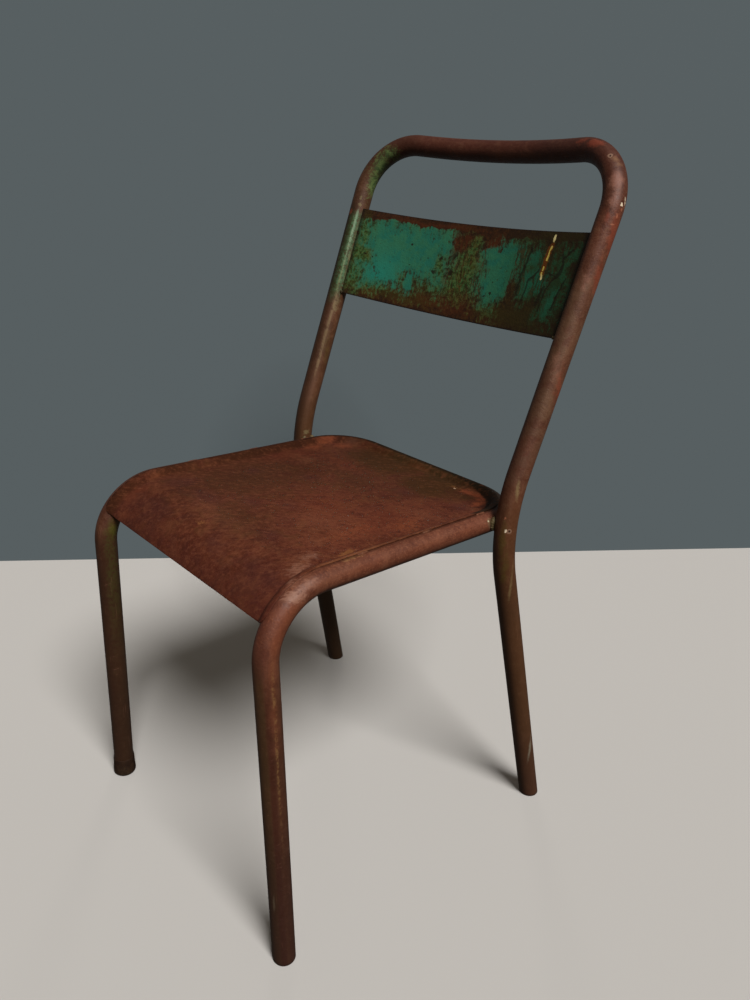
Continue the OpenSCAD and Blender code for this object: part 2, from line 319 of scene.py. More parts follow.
def seat_panel():
    rows = panel_rows()
    near = [0, 0.35, 0.8, 1.4] + [2.2 + 0.9 * i for i in range(14)] + [15.5, 17.5, 20, 23.5, 28, 34, 41, 49, 58, 68, 79, 91, 104, 118, 134]
    full = SC.x - RIM_INSET
    cols = [-(1 - c / full) for c in near] + [0.0] + [1 - c / full for c in reversed(near)]
    verts, faces, rim, sheet = [], [], [], []
    nr, nc = len(rows), len(cols)
    for top in (True, False):
        for i, row in enumerate(rows):
            p, n, half, s = row
            # The edge is dressed down to the rail, closest over the front bends.
            u = min(1.0, max(0.0, (s - BEND_T - 5) / 75)) if s > 0 else 0.0
            dress = (SEAT_T - 0.5) + (1.05 - SEAT_T) * u * u * (3 - 2 * u)
            edge = min(0.45, 0.42 * (SEAT_T - dress))
            for j, f in enumerate(cols):
                x = f * half
                d = max(0.0, inside_rim(x, row))
                ru = TUBE_R + LIFT + (SEAT_T if top else 0)
                rh = HOLLOW - (SEAT_T if top else 0)
                w = face_w(d, ru, rh)
                # Hand-hammered, sat-on metal: the tray's flat is never true.
                q = Vector((x, p.y, p.z)) + n * w
                calm = min(1.0, max(0.0, (d - 16) / 30))
                if s < 0:
                    calm *= 0.35
                dent = 0.55 * noise.noise(q * 0.016 + Vector((3, 8, 1)))
                dent += 0.22 * noise.noise(q * 0.05 + Vector((7, 2, 5)))
                q = q + n * (dent * calm - 0.15 * calm)
                # The sheet's cut edge is a little rounded.
                e = min(1.0 - abs(f), 1.0) * half
                e = min(e, (RIM_R + CORNER_S - s) if s > CORNER_S else 99)
                if i == 0:
                    e = 0
                if e < edge:
                    cut = edge - math.sqrt(max(0.0, edge * edge - (edge - e) ** 2))
                    q = q - n * cut * (1 if top else -1)
                if top:
                    side = (1.0 - abs(f)) * half
                    q = q - n * dress * max(0.0, 1 - side / 8) ** 1.5
                verts.append(q)
                rim.append(d * MM)
                sheet.append((x * MM, (q.y) * MM, (1.0 if top else 0.0)))

    def vid(i, j, top):
        return (0 if top else nr * nc) + i * nc + j

    for i in range(nr - 1):
        for j in range(nc - 1):
            faces.append((vid(i, j, 1), vid(i, j + 1, 1), vid(i + 1, j + 1, 1), vid(i + 1, j, 1)))
            faces.append((vid(i, j, 0), vid(i + 1, j, 0), vid(i + 1, j + 1, 0), vid(i, j + 1, 0)))
        faces.append((vid(i, 0, 1), vid(i + 1, 0, 1), vid(i + 1, 0, 0), vid(i, 0, 0)))
        faces.append((vid(i, nc - 1, 1), vid(i, nc - 1, 0), vid(i + 1, nc - 1, 0), vid(i + 1, nc - 1, 1)))
    for j in range(nc - 1):
        faces.append((vid(0, j, 1), vid(0, j, 0), vid(0, j + 1, 0), vid(0, j + 1, 1)))
        faces.append((vid(nr - 1, j, 1), vid(nr - 1, j + 1, 1), vid(nr - 1, j + 1, 0), vid(nr - 1, j, 0)))
    ob = new_object("seat_sheet", verts, faces,
                    attrs={"rim": ("FLOAT", rim), "sheet": ("FLOAT_VECTOR", sheet)})
    sharpen(ob, 60)
    return ob


seat_sheet = seat_panel()

# ---------------------------------------------------------------------------
# Back slat: a sheet bowed to the rear, its ends butted on the uprights.
# ---------------------------------------------------------------------------
BACK_LEN = (BT - BK).length
SLAT_END = BK.x + (BT.x - BK.x) * (SLAT_LOW + SLAT_H / 2) / BACK_LEN
SLAT_C = -SLAT_FWD - math.sqrt(SLAT_R ** 2 - (SLAT_END - TUBE_R) ** 2)
LEAN = math.cos(math.atan2(BT.x - BK.x, BACK_LEN))


def in_back(x, y, h):
    return Vector((x, KNEE_Y, KNEE_Z)) + BN * y + UP * h


def slat_end(h, rr):
    """Half length of the slat at height h, for the face at radius rr."""
    ax = BK.x + (BT.x - BK.x) * h / BACK_LEN
    x = ax - TUBE_R
    for _ in range(6):
        y = SLAT_C + math.sqrt(rr * rr - x * x)
        x = ax - math.sqrt(max(1.0, TUBE_R ** 2 - y * y)) / LEAN
    return x + 0.12


def back_slat():
    hs = [0, 0.15, 0.4, 0.8] + [2 + 108 * i / 54 for i in range(55)] + [111.2, 111.6, 111.85, 112]
    nu = 150
    verts, faces, strip = [], [], []
    edge = 0.45
    for front in (True, False):
        for h in hs:
            e = min(h, SLAT_H - h)
            cut = edge - math.sqrt(max(0.0, edge * edge - (edge - e) ** 2)) if e < edge else 0
            rr = SLAT_R + (cut if front else SLAT_T - cut)
            half = slat_end(SLAT_LOW + h, rr)
            for k in range(nu + 1):
                x = -half + 2 * half * k / nu
                y = SLAT_C + math.sqrt(rr * rr - x * x)
                q = in_back(x, y, SLAT_LOW + h)
                calm = min(1, e / 12) * min(1, (half - abs(x)) / 15)
                dent = 0.35 * noise.noise(Vector((x * 0.02, h * 0.03, 4.0))) + 0.12 * noise.noise(Vector((x * 0.07, h * 0.09, 9.0)))
                q = q + BN * dent * calm
                verts.append(q)
                strip.append((x * MM, h * MM, 1.0 if front else 0.0))
    nh, nw = len(hs), nu + 1

    def vid(i, j, front):
        return (0 if front else nh * nw) + i * nw + j

    for i in range(nh - 1):
        for j in range(nw - 1):
            faces.append((vid(i, j, 1), vid(i, j + 1, 1), vid(i + 1, j + 1, 1), vid(i + 1, j, 1)))
            faces.append((vid(i, j, 0), vid(i + 1, j, 0), vid(i + 1, j + 1, 0), vid(i, j + 1, 0)))
        faces.append((vid(i, 0, 1), vid(i + 1, 0, 1), vid(i + 1, 0, 0), vid(i, 0, 0)))
        faces.append((vid(i, nw - 1, 1), vid(i, nw - 1, 0), vid(i + 1, nw - 1, 0), vid(i + 1, nw - 1, 1)))
    for j in range(nw - 1):
        faces.append((vid(0, j, 1), vid(0, j, 0), vid(0, j + 1, 0), vid(0, j + 1, 1)))
        faces.append((vid(nh - 1, j, 1), vid(nh - 1, j + 1, 1), vid(nh - 1, j + 1, 0), vid(nh - 1, j, 0)))
    ob = new_object("slat_sheet", verts, faces, attrs={"strip": ("FLOAT_VECTOR", strip)})
    sharpen(ob, 60)
    return ob


slat_sheet = back_slat()

# ---------------------------------------------------------------------------
# Weld beads: short runs of overlapping ripples, drawn as one skin.
# ---------------------------------------------------------------------------


def bead(name, runs, seg=20):
    """runs is a list of (points, radius, ripple pitch, squash axis, squash)."""
    verts, faces, sweep = [], [], []
    for points, rad, pitch, axis, squash, closed in runs:
        lens = [0.0]
        for a, b in zip(points, points[1:]):
            lens.append(lens[-1] + (b - a).length)
        total = lens[-1]
        n = max(12, int(total / 0.35))
        rows = []
        ax = axis.normalized()
        for i in range(n + 1):
            s = total * i / n
            k = max(j for j in range(len(lens)) if lens[j] <= s + 1e-9)
            k = min(k, len(points) - 2)
            f = (s - lens[k]) / max(lens[k + 1] - lens[k], 1e-9)
            p = points[k].lerp(points[k + 1], f)
            t = (points[k + 1] - points[k]).normalized()
            side = t.cross(ax).normalized()
            up = side.cross(t).normalized()
            taper = 1.0 if closed else math.sqrt(max(0.0, 1 - abs(2 * s / total - 1) ** 5))
            ph = (s / pitch) % 1.0
            rip = 1 + 0.13 * (1 - ph) - 0.05
            wob = 1 + 0.10 * noise.noise(p * 0.35)
            r = max(rad * taper * rip * wob, 0.02)
            first = len(verts)
            for m in range(seg):
                w = 2 * math.pi * m / seg
                # Ripples lag at the sides, as a weld pool's do.
                lag = t * (-0.35 * pitch * math.cos(w) ** 2)
                verts.append(p + side * math.cos(w) * r + up * math.sin(w) * r * squash + lag * taper)
                sweep.append((s * MM, math.cos(w) * r * MM, math.sin(w) * r * MM))
            rows.append(first)
        for a, b in zip(rows, rows[1:]):
            for m in range(seg):
                faces.append((a + m, a + (m + 1) % seg, b + (m + 1) % seg, b + m))
        faces.append(tuple(rows[0] + m for m in reversed(range(seg))))
        faces.append(tuple(rows[-1] + m for m in range(seg)))
    ob = new_object(name, verts, faces, attrs={"sweep": ("FLOAT_VECTOR", sweep)})
    return ob


KNEE_TH = turn(BF, BK, BT)
KNEE_TOP = BK + ((BF - BK).normalized() + (BT - BK).normalized()).normalized() * KNEE_BEND * (1 / math.cos(KNEE_TH / 2) - 1)


def side_of(p, left):
    return p if left else mx(p)


def joint_weld(left):
    rx = rail_at(KNEE_TOP.y).x
    mid = Vector(((rx + KNEE_TOP.x) / 2, KNEE_TOP.y, KNEE_TOP.z))
    # The upright runs up through the crease, and the rail along it.
    runs = []
    for a0, a1 in ((118, 238), (-62, 58)):
        pts = []
        for i in range(13):
            w = math.radians(a0 + (a1 - a0) * i / 12)
            pts.append(side_of(mid + Vector((0, math.cos(w) * 8.2, math.sin(w) * 8.2)), left))
        runs.append((pts, 3.1, 2.2, Vector((1, 0, 0)), 1.0, False))
    return bead("weld_joint_" + ("left" if left else "right"), runs)


def slat_weld(left):
    runs = []
    ux = (BT - BK).normalized()
    for h in (SLAT_LOW + 1.5, SLAT_LOW + SLAT_H - 23.5):
        c = BK + ux * h + BN * (SLAT_T - SLAT_FWD + 2.0) - Vector((TUBE_R - 0.2, 0, 0))
        pts = [side_of(c + ux * 22 * i / 6, left) for i in range(7)]
        runs.append((pts, 2.7, 2.4, BN, 1.0, False))
    # A blob at the slat's lower front corner, where the bead ran round.
    c = BK + ux * (SLAT_LOW + 0.6) + BN * (-SLAT_FWD - 0.2) - Vector((TUBE_R - 0.6, 0, 0))
    pts = [side_of(c + Vector((-2.2, 0, 0)) + Vector((1.1 * i, 0, 0)) + ux * 0.15 * i, left) for i in range(5)]
    runs.append((pts, 1.9, 1.9, BN, 0.9, False))
    return bead("weld_slat_" + ("left" if left else "right"), runs)


def panel_weld(left):
    runs = []
    rn = Vector((0, -RAIL_YZ.z, RAIL_YZ.y))
    for s in (110, 200, 285):
        p = SC + RAIL_DIR * s + Vector((-0.1, 0, 0)) + rn * (TUBE_R + 0.1)
        pts = [side_of(p + RAIL_DIR * 14 * i / 5, left) for i in range(6)]
        runs.append((pts, 1.4, 1.9, rn, 0.9, False))
    return bead("weld_panel_" + ("left" if left else "right"), runs, 16)


# ---------------------------------------------------------------------------
# Foot cap: a worn sleeve, flared at its base, on the right front leg.
# ---------------------------------------------------------------------------


def foot_cap():
    foot, up = mx(SF), (mx(SC) - mx(SF)).normalized()
    u = up.cross(Vector((0, 1, 0))).normalized()
    v = up.cross(u).normalized()
    prof = [(0.0, 0.6), (4.0, 0.5), (8.0, 0.3), (11.3, 0.0), (12.4, 0.15), (13.3, 0.7), (14.05, 1.7),
            (14.5, 3.0), (14.6, 4.6), (14.45, 6.6), (14.2, 9.0), (13.95, 12.0), (13.8, 16.0),
            (13.7, 20.0), (13.62, 24.0), (13.55, 26.6), (13.4, 27.2), (13.1, 27.45), (12.8, 27.3), (12.66, 26.8), (12.6, 25.0)]
    seg = 64
    verts, faces, sweep = [], [], []
    rows = []
    for r, z in prof:
        first = len(verts)
        if r == 0:
            verts.append(foot + up * z)
            sweep.append((z * MM, 0, 0))
            rows.append(("pole", first))
            continue
        for k in range(seg):
            w = 2 * math.pi * k / seg
            d = u * math.cos(w) + v * math.sin(w)
            wob = noise.noise(d * 1.7 + Vector((0, 0, z * 0.11)))
            rr = r - (0.12 + 0.12 * wob if 12 < r else 0)
            q = foot + up * z + d * rr
            q.z = max(q.z, 0.0)
            if z <= 0.7:
                q.z = max(0.0, z * 0.6)
            verts.append(q)
            sweep.append((z * MM, math.cos(w) * r * MM, math.sin(w) * r * MM))
        rows.append(("ring", first))
    for (ka, a), (kb, b) in zip(rows, rows[1:]):
        for k in range(seg):
            if ka == "pole":
                faces.append((a, b + (k + 1) % seg, b + k))
            else:
                faces.append((a + k, a + (k + 1) % seg, b + (k + 1) % seg, b + k))
    # Closed inside against the tube, so the piece is a solid.
    last = rows[-1][1]
    inner = len(verts)
    for k in range(seg):
        w = 2 * math.pi * k / seg
        d = u * math.cos(w) + v * math.sin(w)
        verts.append(foot + up * 4.2 + d * 12.6)
        sweep.append((4.2 * MM, math.cos(w) * 12.6 * MM, math.sin(w) * 12.6 * MM))
    for k in range(seg):
        faces.append((last + k, last + (k + 1) % seg, inner + (k + 1) % seg, inner + k))
    pole = len(verts)
    verts.append(foot + up * 4.2)
    sweep.append((4.2 * MM, 0, 0))
    for k in range(seg):
        faces.append((inner + k, inner + (k + 1) % seg, pole))
    ob = new_object("cap_front_right", verts, faces, attrs={"sweep": ("FLOAT_VECTOR", sweep)})
    sharpen(ob, 70)
    return ob


welds = {
    "joint_weld_left": joint_weld(True), "joint_weld_right": joint_weld(False),
    "slat_weld_left": slat_weld(True), "slat_weld_right": slat_weld(False),
    "panel_weld_left": panel_weld(True), "panel_weld_right": panel_weld(False),
}
cap = foot_cap()
for ob in welds.values():
    sharpen(ob, 80)


# ---------------------------------------------------------------------------
# Materials
# ---------------------------------------------------------------------------
def tone(r, g, b, k=1.3):
    """A surface colour from how it looks on screen, 0 to 255, in this light.
    k undoes the light's dimming, after a little gloss is taken off."""
    def f(c):
        c /= 255
        c = c / 12.92 if c <= 0.04045 else ((c + 0.055) / 1.055) ** 2.4
        return min(0.8, max(0.0025, (c - 0.005) * k))
    return (f(r), f(g), f(b), 1.0)


class Net:
    """Short names for the shader nodes used below."""

    def __init__(self, name):
        self.mat = bpy.data.materials.new(name)
        self.mat.use_nodes = True
        self.t = self.mat.node_tree
        self.t.nodes.clear()
        self.out = self.t.nodes.new("ShaderNodeOutputMaterial")
        self.p = self.t.nodes.new("ShaderNodeBsdfPrincipled")
        self.t.links.new(self.p.outputs[0], self.out.inputs[0])
        self.obj = self.t.nodes.new("ShaderNodeTexCoord").outputs["Object"]

    def link(self, a, b):
        if isinstance(a, (int, float)):
            b.default_value = a
        elif isinstance(a, (tuple, list)):
            b.default_value = a
        else:
            self.t.links.new(a, b)

    def attr(self, name, vector=True):
        n = self.t.nodes.new("ShaderNodeAttribute")
        n.attribute_name = name
        return n.outputs["Vector"] if vector else n.outputs["Fac"]

    def math(self, op, a, b=0.0, c=0.0, clamp=False):
        n = self.t.nodes.new("ShaderNodeMath")
        n.operation = op
        n.use_clamp = clamp
        self.link(a, n.inputs[0])
        self.link(b, n.inputs[1])
        self.link(c, n.inputs[2])
        return n.outputs[0]

    def times(self, *vals):
        out = vals[0]
        for v in vals[1:]:
            out = self.math("MULTIPLY", out, v)
        return out

    def vmath(self, op, a, b=(0, 0, 0), c=(0, 0, 0)):
        n = self.t.nodes.new("ShaderNodeVectorMath")
        n.operation = op
        self.link(a, n.inputs[0])
        if op not in ("LENGTH", "ABSOLUTE"):
            self.link(b, n.inputs[1])
        if op == "MULTIPLY_ADD":
            self.link(c, n.inputs[2])
        return n.outputs["Value"] if op in ("LENGTH", "DOT_PRODUCT", "DISTANCE") else n.outputs["Vector"]

    def noise(self, vec, scale, detail=3.0, rough=0.55, dist=0.0, color=False):
        n = self.t.nodes.new("ShaderNodeTexNoise")
        self.link(vec, n.inputs["Vector"])
        n.inputs["Scale"].default_value = scale
        n.inputs["Detail"].default_value = detail
        n.inputs["Roughness"].default_value = rough
        n.inputs["Distortion"].default_value = dist
        return n.outputs["Color" if color else "Fac"]

    def warp(self, vec, *steps):
        """Shifts vec about by noises of (scale, amount in millimetres)."""
        for scale, amount in steps:
            a = amount * MM * 2
            c = self.noise(vec, scale, 1.0, 0.5, color=True)
            vec = self.vmath("ADD", self.vmath("MULTIPLY_ADD", c, (a, a, a), vec), (-a / 2,) * 3)
        return vec

    def voronoi(self, vec, scale):
        n = self.t.nodes.new("ShaderNodeTexVoronoi")
        self.link(vec, n.inputs["Vector"])
        n.inputs["Scale"].default_value = scale
        return n.outputs["Distance"]

    def step(self, v, lo, hi, to0=0.0, to1=1.0, kind="SMOOTHSTEP"):
        """v from lo to hi becomes to0 to to1, eased and clamped."""
        n = self.t.nodes.new("ShaderNodeMapRange")
        n.interpolation_type = kind
        n.clamp = True
        if lo > hi:
            lo, hi, to0, to1 = hi, lo, to1, to0
        self.link(v, n.inputs["Value"])
        for key, val in (("From Min", lo), ("From Max", hi), ("To Min", to0), ("To Max", to1)):
            n.inputs[key].default_value = val
        return n.outputs["Result"]

    def mix(self, fac, a, b, blend="MIX"):
        n = self.t.nodes.new("ShaderNodeMix")
        n.data_type = "RGBA"
        n.blend_type = blend
        n.clamp_factor = True
        self.link(fac, n.inputs[0])
        self.link(a, n.inputs[6])
        self.link(b, n.inputs[7])
        return n.outputs[2]

    def scale(self, color, fac):
        """color times a grey number."""
        n = self.t.nodes.new("ShaderNodeVectorMath")
        n.operation = "SCALE"
        self.link(color, n.inputs[0])
        self.link(fac, n.inputs["Scale"])
        return n.outputs["Vector"]

    def sep(self, v):
        n = self.t.nodes.new("ShaderNodeSeparateXYZ")
        self.link(v, n.inputs[0])
        return n.outputs[0], n.outputs[1], n.outputs[2]

    def comb(self, x=0.0, y=0.0, z=0.0):
        n = self.t.nodes.new("ShaderNodeCombineXYZ")
        for v, s in zip((x, y, z), n.inputs):
            self.link(v, s)
        return n.outputs[0]

    def stretch(self, vec, way, along, across):
        """vec for a noise drawn out along one way: (x, y, z)."""
        w = Vector(way).normalized()
        u = w.orthogonal().normalized()
        v = w.cross(u)
        return self.comb(self.vmath("DOT_PRODUCT", vec, tuple(w * along)),
                         self.vmath("DOT_PRODUCT", vec, tuple(u * across)),
                         self.vmath("DOT_PRODUCT", vec, tuple(v * across)))

    def near(self, vec, centre, radii, gain=1.0, box=False):
        """1 at the centre, 0.5 at the radii, 0 at twice that. Millimetres."""
        if isinstance(radii, (int, float)):
            radii = (radii,) * 3
        k = tuple(1 / (r * MM) for r in radii)
        d = self.vmath("MULTIPLY_ADD", vec, k, tuple(-c * MM * q for c, q in zip(centre, k)))
        if box:
            x, y, z = self.sep(self.vmath("ABSOLUTE", d))
            d = self.math("MAXIMUM", x, y)
        else:
            d = self.vmath("LENGTH", d)
        return self.math("MULTIPLY_ADD", d, -0.5 * gain, gain, clamp=True)

    def most(self, masks):
        out = masks[0]
        for m in masks[1:]:
            out = self.math("MAXIMUM", out, m)
        return out

    def cut(self, field, grain, amp=1.2, soft=0.06, top=1.0):
        """A field cut at a half, its edge broken up by a grain."""
        f = self.math("MULTIPLY_ADD", grain, amp, field)
        mid = 0.5 + amp * 0.5
        return self.step(f, mid - soft, mid + soft, 0.0, top)

    def segment(self, vec, a, b, width):
        """1 on the line from a to b, 0.5 at its width, and how far along."""
        ax, ay, bx, by = a[0] * MM, a[1] * MM, b[0] * MM, b[1] * MM
        l2 = (bx - ax) ** 2 + (by - ay) ** 2
        d = self.vmath("SUBTRACT", vec, (ax, ay, 0))
        t = self.vmath("DOT_PRODUCT", d, ((bx - ax) / l2, (by - ay) / l2, 0))
        t = self.math("ADD", t, 0, clamp=True)
        c = self.comb(self.math("MULTIPLY", t, bx - ax), self.math("MULTIPLY", t, by - ay))
        e = self.vmath("LENGTH", self.vmath("MULTIPLY", self.vmath("SUBTRACT", d, c), (1, 1, 0)))
        return self.math("MULTIPLY_ADD", e, -0.5 / (width * MM), 1, clamp=True), t


def finish(net, colour, rough, height, bump=0.8, dist=0.0010, spec=0.3):
    net.link(colour, net.p.inputs["Base Color"])
    net.link(rough, net.p.inputs["Roughness"])
    net.p.inputs["Metallic"].default_value = 0.0
    net.p.inputs["Specular IOR Level"].default_value = spec
    b = net.t.nodes.new("ShaderNodeBump")
    b.inputs["Strength"].default_value = bump
    b.inputs["Distance"].default_value = dist
    net.link(height, b.inputs["Height"])
    net.t.links.new(b.outputs[0], net.p.inputs["Normal"])
    return net.mat


class Rust:
    """The layered rust shared by every painted surface: broad patches, then
    blotches, mottling, specks and pits. Every piece samples the same noises
    in the same place, so a patch runs on from a tube to the sheet on it."""

    def __init__(self, net, pal, gain=1.0):
        p = net.obj
        self.p = p
        self.n1 = net.noise(p, 13, 3, 0.5, 0.4)
        self.n2 = net.noise(net.vmath("ADD", p, (3.1, 1.7, 8.3)), 52, 4, 0.6, 0.6)
        self.n3 = net.noise(net.vmath("ADD", p, (1.4, 6.1, 2.2)), 190, 4, 0.65, 0.3)
        self.n4 = net.noise(p, 520, 3, 0.6)
        self.n5 = net.noise(p, 1500, 1, 0.5)
        c = net.mix(net.step(self.n1, 0.41, 0.59), pal["a"], pal["b"])
        c = net.mix(net.step(self.n2, 0.50, 0.64, 0, 0.70), c, pal["c"])
        c = net.mix(net.step(self.n2, 0.48, 0.34, 0, 0.70 * min(1.0, gain + 0.15)), c, pal["d"])
        c = net.mix(net.step(self.n3, 0.50, 0.66, 0, 0.34 * gain), c, pal["light"])
        c = net.mix(net.step(self.n3, 0.49, 0.35, 0, 0.34 * gain), c, pal["dark"])
        c = net.mix(net.step(self.n4, 0.54, 0.67, 0, 0.40 * gain), c, pal["light"])
        self.pits = net.step(self.n4, 0.42, 0.30)
        c = net.mix(net.math("MULTIPLY", self.pits, 0.46 * gain), c, pal["dark"])
        self.grain = net.step(self.n5, 0.25, 0.75, 0.89, 1.12, "LINEAR")
        self.c = c
        self.h = net.math("MULTIPLY_ADD", self.n3, 0.5, net.math("MULTIPLY", self.n2, 0.8))
        self.h = net.math("MULTIPLY_ADD", self.n4, 0.42, self.h)
        self.h = net.math("MULTIPLY_ADD", self.pits, -0.10, self.h)
        self.rough = net.step(self.n3, 0.3, 0.7, 0.50, 0.66, "LINEAR")
        # Two grains for breaking up the edges of patches.
        self.rag = net.math("MULTIPLY_ADD", self.n3, 0.55, net.math("MULTIPLY", self.n2, 0.45))
        self.spk = net.math("MULTIPLY_ADD", self.n4, 0.55, net.math("MULTIPLY", self.n3, 0.45))


TUBE_TONES = dict(a=tone(78, 43, 30), b=tone(92, 52, 37), c=tone(104, 64, 46), d=tone(70, 34, 23),
                  light=tone(122, 84, 62), dark=tone(42, 24, 16))
SEAT_TONES = dict(a=tone(83, 43, 31, 1.12), b=tone(94, 50, 37, 1.12), c=tone(101, 59, 40, 1.12), d=tone(74, 36, 29, 1.12),
                  light=tone(114, 68, 50, 1.12), dark=tone(58, 31, 20, 1.12))


def bend_wear_and_highlights(n, r, c, w):
    """Wear at the two front bends, the same on tube and sheet, with painted highlights on the near bend."""
    purple = n.most([n.near(w, (140, -226, 398), (20, 18, 22)), n.near(w, (150, -214, 418), (12, 20, 12), 0.9),
                     n.near(w, (160, -236, 372), (10, 8, 26), 0.85)])
    c = n.mix(n.cut(purple, r.rag, 1.2, 0.22, 0.5), c, tone(74, 38, 32, 1.2))
    orange = n.most([n.near(w, (167, -210, 408), (8, 16, 12)), n.near(w, (171, -222, 392), (6, 9, 16)),
                     n.near(w, (-143, -160, 434), (5, 20, 8), 0.75), n.near(w, (-147, -212, 414), (5, 9, 8), 0.8),
                     n.near(w, (-126, -219, 405), (12, 7, 10), 0.6)])
    c = n.mix(n.cut(orange, r.rag, 1.2, 0.36, 0.5), c, tone(118, 64, 42, 1.15))
    # Pink streaks and a glint on the near bend's top: painted highlights.
    pink_highlight = n.most([n.near(w, (163, -199, 424), (6, 9, 5)), n.near(w, (163, -186, 430), (5, 10, 4)),
                   n.near(w, (150, -194, 431), (7, 10, 4), 0.85), n.near(w, (134, -172, 433), (10, 12, 5), 0.8),
                   n.near(w, (122, -150, 432), (8, 11, 9), 0.75)])
    streaks = n.noise(n.stretch(w, (0.62, 0.62, 0.3), 60, 420), 1.0, 4, 0.62)
    m = n.cut(pink_highlight, streaks, 1.7, 0.34, 0.55)
    c = n.mix(m, c, tone(142, 100, 82, 1.15))
    glint = n.near(w, (162, -202, 424), (5, 11, 6), 0.9)
    c = n.mix(n.cut(glint, streaks, 1.9, 0.16, 0.36), c, tone(150, 110, 90, 1.15))
    return c


